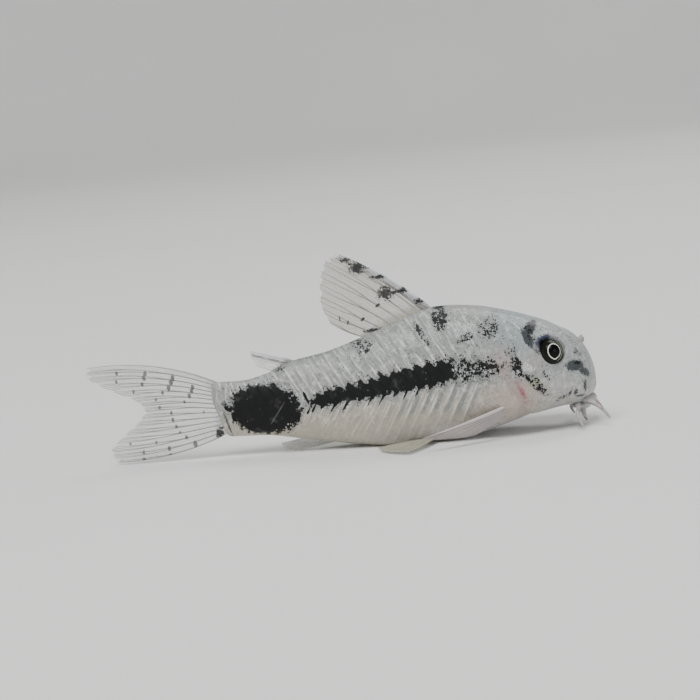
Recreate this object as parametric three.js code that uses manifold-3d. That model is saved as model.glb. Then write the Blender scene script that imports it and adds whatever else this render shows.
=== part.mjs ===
// A small corydoras catfish at life size, resting on its belly as a museum model.
// Millimetres. +X runs to the snout, +Y to the fish's left and +Z up. The floor is Z = 0, and the origin
// is on that floor, under the middle of the belly.
import * as THREE from "three";
import { mergeVertices } from "three/addons/utils/BufferGeometryUtils.js";
import Module from "manifold-3d";

const wasm = await Module();
wasm.setup();

// Driving sizes: the body runs from the snout to the end of the tail stem, where the tail fin starts.
const snoutX = 12.3;
const stemEndX = -11.75;
const noseLevel = 2.75;
const noseRoundFromX = 10.7;
const gap = 0.25;

// Profiles along the body, as [x, value] pairs from the tail to the snout.
const topLine = graph([
  [-12.3, 4.95], [-10.4, 4.9], [-8.8, 5.2], [-7.4, 5.8], [-4.7, 6.3], [-2.4, 7.0], [0.6, 8.05],
  [2.4, 8.5], [4.8, 8.3], [7.2, 7.7], [9.2, 7.0], [10.6, 6.25], [11.5, 5.85], [12.3, 5.8],
]);
const bottomLine = graph([
  [-12.3, 1.35], [-9.3, 1.25], [-6.5, 0.75], [-3.2, 0.15], [-1.2, -0.12], [3.0, -0.12], [4.6, 0.2],
  [6.6, 0.75], [8.6, 1.25], [10.4, 1.4], [12.3, 1.45],
]);
const halfWidth = graph([
  [-12.3, 0.34], [-11, 0.6], [-9, 0.95], [-6, 1.4], [-3, 1.9], [0, 2.45], [3, 2.9], [6, 3.1],
  [8, 2.85], [10, 2.35], [11.5, 1.95], [12.3, 1.75],
]);
// The height of the widest place, where the side line runs, as a share of the body's depth.
const sideShare = graph([[-12.3, 0.5], [-4, 0.49], [4, 0.47], [8, 0.45], [12.3, 0.45]]);
// How square a section is: 2 is an ellipse, and more is flatter with rounder corners.
const upperSquareness = graph([[-12.3, 2], [0, 1.9], [5, 2.05], [10, 2.2], [12.3, 2.2]]);
const lowerSquareness = graph([[-12.3, 2], [-6, 2.2], [0, 3], [6, 3], [10, 2.6], [12.3, 2.3]]);

// The bony plates: two rows on each side, whose edges lean towards the tail above and below the side line.
const plateCount = 22;
const platesFromS = 4.9;
const platePitch = (platesFromS - stemEndX) / plateCount;
const plateLift = 0.13;
const plateFrontShare = 0.1;
const plateRearShare = 0.92;
const stemFromPlate = 14;
const plateLean = 0.52;
const gillLean = -0.45;

// Places where the body is parted, measured along the side line.
const headEndS = 6.85;
const gillLift = 0.14;

// Around the body, in degrees from the ridge of the back to the middle of the belly.
const ringDegrees = [
  0, 8, 18, 30, 42, 54, 66, 77, 85, 90, 95, 103, 112, 122, 132, 142, 151, 159, 166, 173, 180,
];
const upperPlateDegrees = [8, 85];
const lowerPlateDegrees = [95, 151];

const eyeRadius = 0.88;
const eyeDepth = 0.34;
const eyePlace = { x: 9.42, z: 5.2 };

const barbelRootRadius = 0.27;
const barbelTipRadius = 0.13;

const rayHalf = 0.33;
const webHalf = 0.25;
const finTipHalf = 0.14;

// The tail swings a little to the fish's left, from the middle of the trunk back.
const swayFromX = -1;
const swayAtEnd = 1.5;
const fishEndX = -20.6;

// A smooth graph through [x, value] pairs in rising x, which never overshoots between them.
function graph(pairs) {
  const last = pairs.length - 1;
  const secant = (i) => (pairs[i + 1][1] - pairs[i][1]) / (pairs[i + 1][0] - pairs[i][0]);
  const slopes = pairs.map((pair, i) => {
    if (i === 0) return secant(0);
    if (i === last) return secant(last - 1);
    const [before, after] = [secant(i - 1), secant(i)];
    return before * after <= 0 ? 0 : (2 * before * after) / (before + after);
  });
  return (x) => {
    const at = Math.min(Math.max(x, pairs[0][0]), pairs[last][0]);
    const i = Math.min(Math.max(pairs.findIndex((pair) => pair[0] >= at) - 1, 0), last - 1);
    const width = pairs[i + 1][0] - pairs[i][0];
    const t = (at - pairs[i][0]) / width;
    const rise = t * t * (3 - 2 * t);
    const own = pairs[i][1] * (1 - rise) + pairs[i + 1][1] * rise;
    return own + width * (slopes[i] * t * (1 - t) ** 2 - slopes[i + 1] * t * t * (1 - t));
  };
}

function smoothStep(from, to, value) {
  const t = Math.min(Math.max((value - from) / (to - from), 0), 1);
  return t * t * (3 - 2 * t);
}

function degrees(value) {
  return THREE.MathUtils.degToRad(value);
}

// The heights of back, side line and belly at x, drawn in to the nose's level at the snout.
function levels(x) {
  const t = Math.min(Math.max((x - noseRoundFromX) / (snoutX - noseRoundFromX), 0), 1);
  const round = Math.sqrt(1 - t * t);
  const top = noseLevel + (topLine(x) - noseLevel) * round;
  const bottom = noseLevel + (bottomLine(x) - noseLevel) * round;
  return { top, bottom, side: bottom + sideShare(x) * (top - bottom), round };
}

// A point of the section at x. The angle is 0 on the back, 90 at the side and 180 under the belly.
function sectionPoint(x, angle, grow) {
  const { top, bottom, side, round } = levels(x);
  const [across, up] = [Math.sin(angle), Math.cos(angle)];
  const squareness = up >= 0 ? upperSquareness(x) : lowerSquareness(x);
  const power = 2 / squareness;
  const height = (up >= 0 ? top - side : side - bottom) + grow;
  const y = (halfWidth(x) * round + grow) * Math.sign(across) * Math.abs(across) ** power;
  return new THREE.Vector3(x, y, side + height * Math.sign(up) * Math.abs(up) ** power);
}

// A point of the skin: s is measured along the side line, from which the grid leans up and down.
function skinPoint(s, angle, grow = 0) {
  const straight = sectionPoint(s, angle, 0);
  const off = straight.z - levels(s).side;
  const lowerLean = THREE.MathUtils.lerp(plateLean, gillLean, smoothStep(5, headEndS - 0.2, s));
  const upright = smoothStep(stemEndX - 0.5, stemEndX + 2.7, s) * (1 - smoothStep(8, snoutX, s));
  const lean = (off > 0 ? plateLean : lowerLean) * upright;
  const endShift = s <= stemEndX ? grow : 0;
  return sectionPoint(s - lean * Math.abs(off) - endShift, angle, grow);
}

// The outward direction of the skin at a place.
function skinNormal(s, angle) {
  const step = 0.02;
  const along = skinPoint(s + step, angle).sub(skinPoint(s - step, angle));
  const around = skinPoint(s, angle + step).sub(skinPoint(s, angle - step));
  const normal = along.cross(around).normalize();
  const side = Math.sign(Math.sin(angle));
  return normal.y * side < 0 ? normal.negate() : normal;
}

// How much of a plate's lift shows at an angle: none on the ridge, the side line and the bare belly.
function plateShare(angle) {
  const value = THREE.MathUtils.radToDeg(angle);
  const folded = value > 180 ? 360 - value : value;
  const within = ([from, to]) => folded > from && folded < to;
  return within(upperPlateDegrees) || within(lowerPlateDegrees) ? 1 : 0.15;
}

// The gill cover stands proud of the skin behind it, on the lower side of the head.
function gillShare(angle) {
  const folded = Math.min(angle, 2 * Math.PI - angle);
  return smoothStep(degrees(60), degrees(85), folded) * (1 - smoothStep(degrees(140), degrees(160), folded));
}

function ringAngles() {
  const half = ringDegrees.map(degrees);
  const back = half.slice(1, -1).reverse().map((angle) => 2 * Math.PI - angle);
  return [...half, ...back];
}

function bodyRing({ s, lift = 0, share = plateShare }, grow) {
  return ringAngles().map((angle) => skinPoint(s, angle, grow + lift * share(angle)));
}

// A closed surface from rings of points, each joined to the next, with a fan over each end.
function loft(rings) {
  const count = rings[0].length;
  const centre = (ring) =>
    ring.reduce((sum, point) => sum.add(point), new THREE.Vector3()).divideScalar(count);
  const points = [...rings.flat(), centre(rings[0]), centre(rings.at(-1))];
  const [first, last] = [points.length - 2, points.length - 1];
  const lastRing = (rings.length - 1) * count;
  const triangles = [];
  for (let i = 0; i < count; i++) {
    const next = (i + 1) % count;
    for (let r = 0; r < lastRing; r += count) {
      triangles.push(r + i, r + next, r + count + next, r + i, r + count + next, r + count + i);
    }
    triangles.push(first, next, i, last, lastRing + i, lastRing + next);
  }
  return solidOf(geometryOf(points, triangles));
}

// A tapering round tube along a curve, with a blunt tip.
function taperedTube(curve, rootRadius, tipRadius, steps, sides) {
  const frames = curve.computeFrenetFrames(steps, false);
  const rings = Array.from({ length: steps + 1 }, (_, i) => {
    const along = i / steps;
    const radius = THREE.MathUtils.lerp(rootRadius, tipRadius, along);
    const middle = curve.getPointAt(along);
    return Array.from({ length: sides }, (__, k) => {
      const turn = (k / sides) * 2 * Math.PI;
      return middle.clone()
        .addScaledVector(frames.normals[i], radius * Math.cos(turn))
        .addScaledVector(frames.binormals[i], radius * Math.sin(turn));
    });
  });
  return loft(rings);
}

function geometryOf(points, triangles) {
  return new THREE.BufferGeometry().setFromPoints(points).setIndex(triangles);
}

// A geometry's closed solid, turned right side out.
function solidOf(source) {
  const bare = source.clone();
  bare.deleteAttribute("normal");
  bare.deleteAttribute("uv");
  const merged = mergeVertices(bare, 1e-5);
  const vertProperties = merged.attributes.position.array;
  const triVerts = new Uint32Array(merged.index.array);
  const corner = (i) => new THREE.Vector3().fromArray(vertProperties, 3 * triVerts[i]);
  let volume = 0;
  for (let i = 0; i < triVerts.length; i += 3) {
    volume += corner(i).dot(corner(i + 1).cross(corner(i + 2)));
  }
  if (volume < 0) {
    for (let i = 0; i < triVerts.length; i += 3) {
      [triVerts[i + 1], triVerts[i + 2]] = [triVerts[i + 2], triVerts[i + 1]];
    }
  }
  return new wasm.Manifold(new wasm.Mesh({ numProp: 3, vertProperties, triVerts }));
}

function largestPiece(solid) {
  return solid.decompose().reduce((best, piece) => (piece.volume() > best.volume() ? piece : best));
}

function ball(centre, radius, across = 14, up = 10) {
  return solidOf(new THREE.SphereGeometry(radius, across, up).translate(...centre.toArray()));
}

// Rows of the body's grid. The head's are closest together at the snout, and close up at the gill edge.
function headRows() {
  const noseRows = [0, 0.12, 0.3, 0.55, 0.9, 1.35, 1.85, 2.4].map((back) => ({ s: snoutX - 0.004 - back }));
  const faceRows = [9.4, 8.9, 8.45, 8.05, 7.7].map((s) => ({ s }));
  const gillRows = [[7.4, 0.35], [7.1, 0.9], [headEndS, 1]].map(([s, share]) => ({
    s,
    lift: gillLift * share,
    share: gillShare,
  }));
  return [...noseRows, ...faceRows, ...gillRows];
}

function shoulderRows() {
  const shares = [[0, 0], [0.25, 0.3], [0.5, 0.6], [0.75, 0.85], [0.97, 1]];
  const from = headEndS - gap;
  return shares.map(([along, share]) => ({
    s: THREE.MathUtils.lerp(from, platesFromS, along),
    lift: plateLift * share,
  }));
}

function plateRows(first, end) {
  const rows = [];
  for (let plate = first; plate < end; plate++) {
    const front = platesFromS - platePitch * plate;
    rows.push({ s: front - platePitch * plateFrontShare, lift: 0 });
    rows.push({ s: front - platePitch * plateRearShare, lift: plateLift });
  }
  return rows;
}

function stemRows() {
  const rows = plateRows(stemFromPlate, plateCount);
  rows[0].s = platesFromS - platePitch * (stemFromPlate - 1 + plateRearShare) - gap;
  rows[rows.length - 1].lift = 0;
  rows.push({ s: stemEndX, lift: 0 });
  return rows;
}

function bodyPart(rows, grow = 0) {
  return loft(rows.map((row) => bodyRing(row, grow)));
}

// The whole body grown by the gap, which fins, barbels and the like are cut clear of.
function bodyClearance() {
  const rows = [...headRows(), ...shoulderRows(), ...plateRows(0, plateCount - 1), { s: stemEndX }];
  return bodyPart(rows.map((row) => ({ ...row, lift: plateLift })), gap);
}

// The skin's place nearest to a point of the side view: its coordinate along the side line and angle.
function skinPlace(x, z, side) {
  let [s, angle] = [x, degrees(z > levels(x).side ? 45 : 135)];
  for (let i = 0; i < 40; i++) {
    const point = skinPoint(s, angle);
    s += (x - point.x) * 0.7;
    angle += (point.z - z) * 0.12;
  }
  return { s, angle: side > 0 ? angle : 2 * Math.PI - angle };
}

function eyeCentre(side) {
  const { s, angle } = skinPlace(eyePlace.x, eyePlace.z, side);
  return skinPoint(s, angle).addScaledVector(skinNormal(s, angle), -eyeDepth);
}

// The nostril on each side is a short open tube that leans forward.
function nostril(side) {
  const { s, angle } = skinPlace(11.55, 5.2, side);
  const [root, out] = [skinPoint(s, angle), skinNormal(s, angle).add(new THREE.Vector3(0.5, 0, 0.3)).normalize()];
  const line = (from, to) =>
    new THREE.LineCurve3(root.clone().addScaledVector(out, from), root.clone().addScaledVector(out, to));
  return {
    wall: taperedTube(line(-0.4, 0.42), 0.36, 0.28, 2, 10),
    bore: taperedTube(line(0.05, 0.8), 0.13, 0.17, 2, 8),
  };
}

// Thick lips round a small mouth that opens downwards under the snout.
const mouthCorner = { x: 11.05, y: 0.95, z: 1.5 };
function lip(frontX, frontZ, cornerLift, radius) {
  const corner = (side) =>
    new THREE.Vector3(mouthCorner.x, side * mouthCorner.y, mouthCorner.z + cornerLift);
  const cheek = (side) => new THREE.Vector3(frontX - 0.25, side * 0.72, frontZ);
  const curve = new THREE.CatmullRomCurve3([
    corner(-1), cheek(-1), new THREE.Vector3(frontX, 0, frontZ), cheek(1), corner(1),
  ]);
  return taperedTube(curve, radius, radius, 12, 8);
}

function lips(grow = 0) {
  return [lip(12.08, 1.72, 0.16, 0.3 + grow), lip(11.5, 1.2, -0.14, 0.27 + grow)];
}

// The short feelers under the chin grow from the lower lip.
function chinFeelers() {
  return [-1, 1].map((side) => {
    const curve = pairedCurve(side, [11.3, 0.42, 1.25], [11.3, 0.52, 0.8], [11.42, 0.66, 0.35]);
    return taperedTube(curve, barbelRootRadius, barbelTipRadius, 5, 8);
  });
}

function head() {
  const sides = [-1, 1];
  const nostrils = sides.map(nostril);
  const added = [bodyPart(headRows()), ...lips(), ...chinFeelers(), ...nostrils.map(({ wall }) => wall)];
  const sockets = sides.map((side) => ball(eyeCentre(side), eyeRadius + gap));
  const cut = [...sockets, ...nostrils.map(({ bore }) => bore)];
  return cut.reduce((solid, tool) => solid.subtract(tool), wasm.Manifold.union(added));
}

// A fin as one closed sheet. Its rays run from the base line to the margin and stand out as ridges on both
// faces, with the web between them drawn in a little at the edge.
function fin({
  base, margin, rays, out, bow = [0, 0], sunk = 0.9, steps = 6, spineHalf = rayHalf, webIn = 0.05,
}) {
  const columns = 2 * rays - 1;
  const rowShares = Array.from({ length: steps + 1 }, (_, j) => j / steps);
  const column = (c) => {
    const across = c / (columns - 1);
    const isRay = c % 2 === 0;
    const root = base.getPoint(across);
    const tip = margin.getPoint(across);
    const run = tip.clone().sub(root);
    const bowWay = out.clone().cross(run).normalize();
    const reach = isRay ? 1 : 1 - webIn;
    return rowShares.map((share) => {
      const along = share * reach;
      const middle = root.clone().addScaledVector(run, along);
      middle.addScaledVector(bowWay, 4 * THREE.MathUtils.lerp(...bow, across) * along * (1 - along));
      if (share === 0) middle.addScaledVector(run.clone().normalize(), -sunk);
      const full = c === 0 ? spineHalf : isRay ? rayHalf : webHalf;
      const half = THREE.MathUtils.lerp(full, finTipHalf, smoothStep(0.45, 1, share));
      return { middle, half };
    });
  };
  const grid = Array.from({ length: columns }, (_, c) => column(c));
  return sheet(grid, out);
}

// Two like faces either side of a grid of middle points, closed along their edges.
function sheet(grid, out) {
  const [columns, rows] = [grid.length, grid[0].length];
  const face = (way) =>
    grid.flat().map(({ middle, half }) => middle.clone().addScaledVector(out, way * half));
  const points = [...face(1), ...face(-1)];
  const back = columns * rows;
  const at = (c, r) => c * rows + r;
  const triangles = [];
  for (let c = 0; c < columns - 1; c++) {
    for (let r = 0; r < rows - 1; r++) {
      const [a, b, d, e] = [at(c, r), at(c + 1, r), at(c + 1, r + 1), at(c, r + 1)];
      triangles.push(a, b, d, a, d, e, back + a, back + d, back + b, back + a, back + e, back + d);
    }
  }
  const rim = [];
  for (let c = 0; c < columns - 1; c++) rim.push(at(c, 0));
  for (let r = 0; r < rows - 1; r++) rim.push(at(columns - 1, r));
  for (let c = columns - 1; c > 0; c--) rim.push(at(c, rows - 1));
  for (let r = rows - 1; r > 0; r--) rim.push(at(0, r));
  rim.forEach((from, i) => {
    const to = rim[(i + 1) % rim.length];
    triangles.push(from, back + from, back + to, from, back + to, to);
  });
  return solidOf(geometryOf(points, triangles));
}

function flatLine(from, to) {
  return new THREE.LineCurve3(new THREE.Vector3(from[0], 0, from[1]), new THREE.Vector3(to[0], 0, to[1]));
}

function flatCurve(...places) {
  return new THREE.CatmullRomCurve3(places.map(([x, z]) => new THREE.Vector3(x, 0, z)));
}

const acrossBody = new THREE.Vector3(0, 1, 0);

const middleFins = {
  dorsal_fin: {
    base: flatLine([2.15, 8.35], [-2.3, 7.0]),
    margin: flatCurve([-3.4, 12.45], [-4.25, 12.1], [-4.75, 10.9], [-4.85, 9.5], [-4.35, 8.1]),
    rays: 8,
    bow: [0.26, -0.1],
    steps: 7,
    spineHalf: 0.4,
  },
  adipose_fin: {
    base: flatLine([-7.15, 5.95], [-8.3, 5.35]),
    margin: flatCurve([-9.65, 6.75], [-9.55, 6.3], [-9.3, 5.75]),
    rays: 3,
    steps: 4,
    spineHalf: 0.36,
    sunk: 0.5,
    webIn: 0,
  },
  tail_fin: {
    base: flatLine([-11.55, 4.7], [-11.55, 1.6]),
    margin: flatCurve(
      [-20.45, 6.75], [-20.2, 6.0], [-18.9, 4.9], [-17.3, 4.1], [-16.8, 3.5],
      [-17.3, 2.75], [-18.4, 1.9], [-19.3, 0.95], [-18.9, 0.2],
    ),
    rays: 13,
    bow: [0.5, -0.36],
    sunk: 0.3,
    steps: 7,
  },
  anal_fin: {
    base: flatLine([-4.3, 0.55], [-6.2, 0.9]),
    margin: flatCurve([-7.1, 0.05], [-8.0, 0.2], [-8.2, 0.6]),
    rays: 6,
    sunk: 0.6,
    steps: 4,
  },
};

function pairedCurve(side, ...places) {
  return new THREE.CatmullRomCurve3(places.map(([x, y, z]) => new THREE.Vector3(x, side * y, z)));
}

function pairedFins(side) {
  return {
    pectoral_fin: {
      base: pairedCurve(side, [6.75, 2.75, 2.1], [5.9, 2.75, 1.55]),
      margin: pairedCurve(side, [0.75, 5.0, 0.95], [1.5, 4.5, 0.7], [3.0, 3.7, 0.5], [4.0, 3.15, 0.45]),
      rays: 7,
      bow: [side * -0.2, side * -0.1],
      out: new THREE.Vector3(-0.1, side * 0.32, 1).normalize(),
      spineHalf: 0.38,
      sunk: 0.8,
    },
    pelvic_fin: {
      base: pairedCurve(side, [1.65, 1.75, 0.42], [0.75, 1.55, 0.3]),
      margin: pairedCurve(side, [-0.3, 5.2, 0.22], [-1.1, 4.6, 0.2], [-1.9, 3.6, 0.2], [-2.1, 2.6, 0.22]),
      rays: 6,
      bow: [side * -0.15, side * -0.05],
      out: new THREE.Vector3(0, side * 0.05, 1).normalize(),
      sunk: 0.8,
      steps: 5,
    },
  };
}

// Two feelers at each corner of the lips.
function barbels(side) {
  return {
    barbel_upper: pairedCurve(side, [11.2, 0.9, 1.75], [11.75, 1.55, 1.6], [12.35, 1.95, 1.15], [12.75, 2.15, 0.6]),
    barbel_lower: pairedCurve(side, [10.9, 0.9, 1.55], [10.85, 1.6, 1.3], [10.75, 2.1, 0.85], [10.95, 2.4, 0.35]),
  };
}

// The sideways swing of the tail at x.
function sway(x) {
  const along = Math.max((swayFromX - x) / (swayFromX - fishEndX), 0);
  return swayAtEnd * along * along;
}

// A named mesh of a solid, flat where it meets the floor and swung with the tail.
function piece(name, solid, material) {
  const standing = largestPiece(solid.trimByPlane([0, 0, 1], 0));
  const { vertProperties, triVerts } = standing.getMesh();
  const placed = Float32Array.from(vertProperties, (value, i) =>
    i % 3 === 1 ? value + sway(vertProperties[i - 1]) : value,
  );
  const shape = new THREE.BufferGeometry();
  shape.setAttribute("position", new THREE.BufferAttribute(placed, 3));
  shape.setIndex(new THREE.BufferAttribute(triVerts, 1));
  shape.computeVertexNormals();
  const mesh = new THREE.Mesh(shape, material);
  mesh.name = name;
  return mesh;
}

const skinMaterial = new THREE.MeshStandardMaterial({ color: 0xb9bab2, roughness: 0.4, metalness: 0.15 });
const finMaterial = new THREE.MeshStandardMaterial({
  color: 0xc8c6bc,
  roughness: 0.35,
  metalness: 0,
  transparent: true,
  opacity: 0.6,
});
const pairedFinMaterial = new THREE.MeshStandardMaterial({ color: 0xdccfcb, roughness: 0.35, metalness: 0 });
const eyeMaterial = new THREE.MeshStandardMaterial({ color: 0x0b0a09, roughness: 0.08, metalness: 0 });
const barbelMaterial = new THREE.MeshStandardMaterial({ color: 0xa9a79f, roughness: 0.5, metalness: 0 });

const fish = new THREE.Group();
const clearance = bodyClearance();
const lipClearance = wasm.Manifold.union(lips(gap));

fish.add(piece("head", head(), skinMaterial));
fish.add(piece("trunk", bodyPart([...shoulderRows(), ...plateRows(0, stemFromPlate)]), skinMaterial));
fish.add(piece("tail_stem", bodyPart(stemRows()), skinMaterial));

for (const [name, form] of Object.entries(middleFins)) {
  fish.add(piece(name, fin({ ...form, out: acrossBody }).subtract(clearance), finMaterial));
}

for (const [side, word] of [[-1, "right"], [1, "left"]]) {
  fish.add(piece(`eye_${word}`, ball(eyeCentre(side), eyeRadius), eyeMaterial));
  for (const [name, form] of Object.entries(pairedFins(side))) {
    fish.add(piece(`${name}_${word}`, fin(form).subtract(clearance), pairedFinMaterial));
  }
  for (const [name, curve] of Object.entries(barbels(side))) {
    const feeler = taperedTube(curve, barbelRootRadius, barbelTipRadius, 8, 8);
    fish.add(piece(`${name}_${word}`, feeler.subtract(clearance).subtract(lipClearance), barbelMaterial));
  }
}

export default fish;
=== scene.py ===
"""A small corydoras catfish at life size, resting on its belly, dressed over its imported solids.

Sizes are in millimetres and turned to metres where Blender gets them. The lights alone are placed in metres.
+X runs to the snout, +Y to the fish's left and +Z up, with the floor at zero.
"""
import logging
import math
from dataclasses import dataclass, field
from enum import Enum
from typing import Callable, Sequence, Union

import bpy
import numpy as np
from mathutils import Matrix, Vector


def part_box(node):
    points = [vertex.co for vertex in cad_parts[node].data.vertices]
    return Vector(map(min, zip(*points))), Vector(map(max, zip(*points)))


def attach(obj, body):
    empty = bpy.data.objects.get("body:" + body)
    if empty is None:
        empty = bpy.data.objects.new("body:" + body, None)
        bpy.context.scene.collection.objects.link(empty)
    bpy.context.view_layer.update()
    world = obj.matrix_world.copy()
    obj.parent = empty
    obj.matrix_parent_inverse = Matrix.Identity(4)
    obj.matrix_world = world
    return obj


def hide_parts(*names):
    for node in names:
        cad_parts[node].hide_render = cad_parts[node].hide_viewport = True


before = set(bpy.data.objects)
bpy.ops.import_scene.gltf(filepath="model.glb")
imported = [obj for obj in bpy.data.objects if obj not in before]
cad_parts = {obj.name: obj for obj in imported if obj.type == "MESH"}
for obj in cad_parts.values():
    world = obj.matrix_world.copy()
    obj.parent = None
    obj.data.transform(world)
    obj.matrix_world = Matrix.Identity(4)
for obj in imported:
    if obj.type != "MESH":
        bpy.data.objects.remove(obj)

log = logging.getLogger("corydoras")

MM = 0.001
Pair = tuple[float, float]
Triple = tuple[float, float, float]
Cells = tuple[int, int]
Array = np.ndarray
Curve = Callable[[Array], Array]
Shape = Callable[[Array, Array], tuple[Array, Array]]
Piece = bpy.types.Object
Material = bpy.types.Material
Node = bpy.types.Node
Tree = bpy.types.NodeTree
Socket = bpy.types.NodeSocket
Feed = Union[Socket, float, Triple]

SURFACE_MAP = "surface"
STRAIGHT = (0.0, 0.0)
# On the back half of an eye the map's second number is this much greater, which tells the finish where it is.
BACK_OF_EYE = 5.0


class Side(Enum):
    """The two sides of the fish, as the sign of Y."""

    RIGHT = -1
    LEFT = 1

    @property
    def word(self) -> str:
        """The side's name as the solids' nodes spell it."""
        return self.name.lower()

    @property
    def mirror(self) -> Array:
        """What a place or a direction of the left side is multiplied by for this one."""
        return np.array([1, self.value, 1])


class Graph:
    """A smooth line through pairs of numbers in rising x, which never overshoots between them."""

    def __init__(self, *pairs: Pair) -> None:
        """Works out the slope at each pair.

        Args:
            pairs: the (x, value) pairs.
        """
        self.x = np.array([pair[0] for pair in pairs])
        self.value = np.array([pair[1] for pair in pairs])
        secant = np.diff(self.value) / np.diff(self.x)
        before, after = secant[:-1], secant[1:]
        product = before * after
        total = np.where(product > 0, before + after, 1.0)
        inner = np.where(product > 0, 2 * product / total, 0.0)
        self.slope = np.concatenate([secant[:1], inner, secant[-1:]])

    def __call__(self, x: Array | float) -> Array:
        """The line's value.

        Args:
            x: one place or many.

        Returns:
            The value at each place, held level past both ends.
        """
        at = np.clip(x, self.x[0], self.x[-1])
        i = np.clip(np.searchsorted(self.x, at) - 1, 0, len(self.x) - 2)
        width = self.x[i + 1] - self.x[i]
        t = (at - self.x[i]) / width
        rise = t * t * (3 - 2 * t)
        own = self.value[i] * (1 - rise) + self.value[i + 1] * rise
        return own + width * (self.slope[i] * t * (1 - t) ** 2 - self.slope[i + 1] * t * t * (1 - t))


def smooth_step(low: float, high: float, value: Array | float) -> Array:
    """A soft step from 0 to 1.

    Args:
        low: where the step starts.
        high: where it ends, which may lie below low.
        value: one place or many.

    Returns:
        The step's height at each place.
    """
    t = np.clip((np.asarray(value) - low) / (high - low), 0, 1)
    return t * t * (3 - 2 * t)


def bump(value: Array, middle: float, reach: float) -> Array:
    """A soft hump of height 1 at middle, gone at reach from it."""
    return smooth_step(reach, 0, np.abs(value - middle))


@dataclass
class FishForm:
    """The fish's main sizes and the smooth form of its body, as the solids have it."""

    snout: float = 12.3
    stem_end: float = -11.75
    nose_level: float = 2.75
    nose_round_from: float = 10.7
    plate_count: int = 22
    plates_from: float = 4.9
    plate_lean: float = 0.52
    gill_lean: float = -0.45
    gill_lean_over: Pair = (5.0, 6.65)
    tail_lean_over: Pair = (-12.25, -9.05)
    snout_lean_over: Pair = (8.0, 12.3)
    sway_from: float = -1.0
    sway_at_end: float = 1.5
    fish_end: float = -20.6
    top: Graph = field(default_factory=lambda: Graph(
        (-12.3, 4.95), (-10.4, 4.9), (-8.8, 5.2), (-7.4, 5.8), (-4.7, 6.3), (-2.4, 7.0), (0.6, 8.05),
        (2.4, 8.5), (4.8, 8.3), (7.2, 7.7), (9.2, 7.0), (10.6, 6.25), (11.5, 5.85), (12.3, 5.8)))
    bottom: Graph = field(default_factory=lambda: Graph(
        (-12.3, 1.35), (-9.3, 1.25), (-6.5, 0.75), (-3.2, 0.15), (-1.2, -0.12), (3.0, -0.12), (4.6, 0.2),
        (6.6, 0.75), (8.6, 1.25), (10.4, 1.4), (12.3, 1.45)))
    half_width: Graph = field(default_factory=lambda: Graph(
        (-12.3, 0.34), (-11, 0.6), (-9, 0.95), (-6, 1.4), (-3, 1.9), (0, 2.45), (3, 2.9), (6, 3.1),
        (8, 2.85), (10, 2.35), (11.5, 1.95), (12.3, 1.75)))
    side_share: Graph = field(default_factory=lambda: Graph(
        (-12.3, 0.5), (-4, 0.49), (4, 0.47), (8, 0.45), (12.3, 0.45)))
    upper_squareness: Graph = field(default_factory=lambda: Graph(
        (-12.3, 2), (0, 1.9), (5, 2.05), (10, 2.2), (12.3, 2.2)))
    lower_squareness: Graph = field(default_factory=lambda: Graph(
        (-12.3, 2), (-6, 2.2), (0, 3), (6, 3), (10, 2.6), (12.3, 2.3)))

    @property
    def plate_pitch(self) -> float:
        """The distance from one plate to the next along the side line."""
        return (self.plates_from - self.stem_end) / self.plate_count

    def levels(self, x: Array) -> tuple[Array, ...]:
        """Heights of the section at x.

        Args:
            x: places along the body.

        Returns:
            The back, the side line, the belly, and how much of its size the section has left by the snout.
        """
        t = np.clip((x - self.nose_round_from) / (self.snout - self.nose_round_from), 0, 1)
        left = np.sqrt(1 - t * t)
        top = self.nose_level + (self.top(x) - self.nose_level) * left
        bottom = self.nose_level + (self.bottom(x) - self.nose_level) * left
        return top, bottom + self.side_share(x) * (top - bottom), bottom, left

    def section(self, x: Array, angle: Array) -> Array:
        """Points of the body's sections.

        Args:
            x: places along the body.
            angle: 0 on the back, a right angle at the fish's left side and two under the belly.

        Returns:
            The points, with their three coordinates last.
        """
        top, side, bottom, left = self.levels(x)
        across, up = np.sin(angle), np.cos(angle)
        power = 2 / np.where(up >= 0, self.upper_squareness(x), self.lower_squareness(x))
        height = np.where(up >= 0, top - side, side - bottom)
        y = self.half_width(x) * left * np.sign(across) * np.abs(across) ** power
        z = side + height * np.sign(up) * np.abs(up) ** power
        return np.stack([x + 0 * y, y, z], axis=-1)

    def skin(self, s: Array, angle: Array) -> tuple[Array, Array]:
        """Points of the skin on the leaning grid that the plates follow.

        Args:
            s: places along the side line.
            angle: places around the body, as in section.

        Returns:
            The points, and the height of each over the side line.
        """
        straight = self.section(s, angle)
        off = straight[..., 2] - self.levels(s)[1]
        lower = self.plate_lean + (self.gill_lean - self.plate_lean) * smooth_step(*self.gill_lean_over, s)
        ends = smooth_step(*self.tail_lean_over, s) * (1 - smooth_step(*self.snout_lean_over, s))
        lean = np.where(off > 0, self.plate_lean, lower) * ends
        return self.section(s - lean * np.abs(off), angle), off

    def sway(self, x: Array) -> Array:
        """How far the tail swings to the left at x."""
        along = np.maximum((self.sway_from - x) / (self.sway_from - self.fish_end), 0)
        return self.sway_at_end * along * along

    def swung(self, points: Array) -> Array:
        """The points with the tail's swing, kept off the floor.

        Args:
            points: places in millimetres, with their coordinates last.

        Returns:
            New points.
        """
        moved = points.copy()
        moved[..., 1] += self.sway(points[..., 0])
        moved[..., 2] = np.maximum(moved[..., 2], 0.0)
        return moved


FORM = FishForm()


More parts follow.
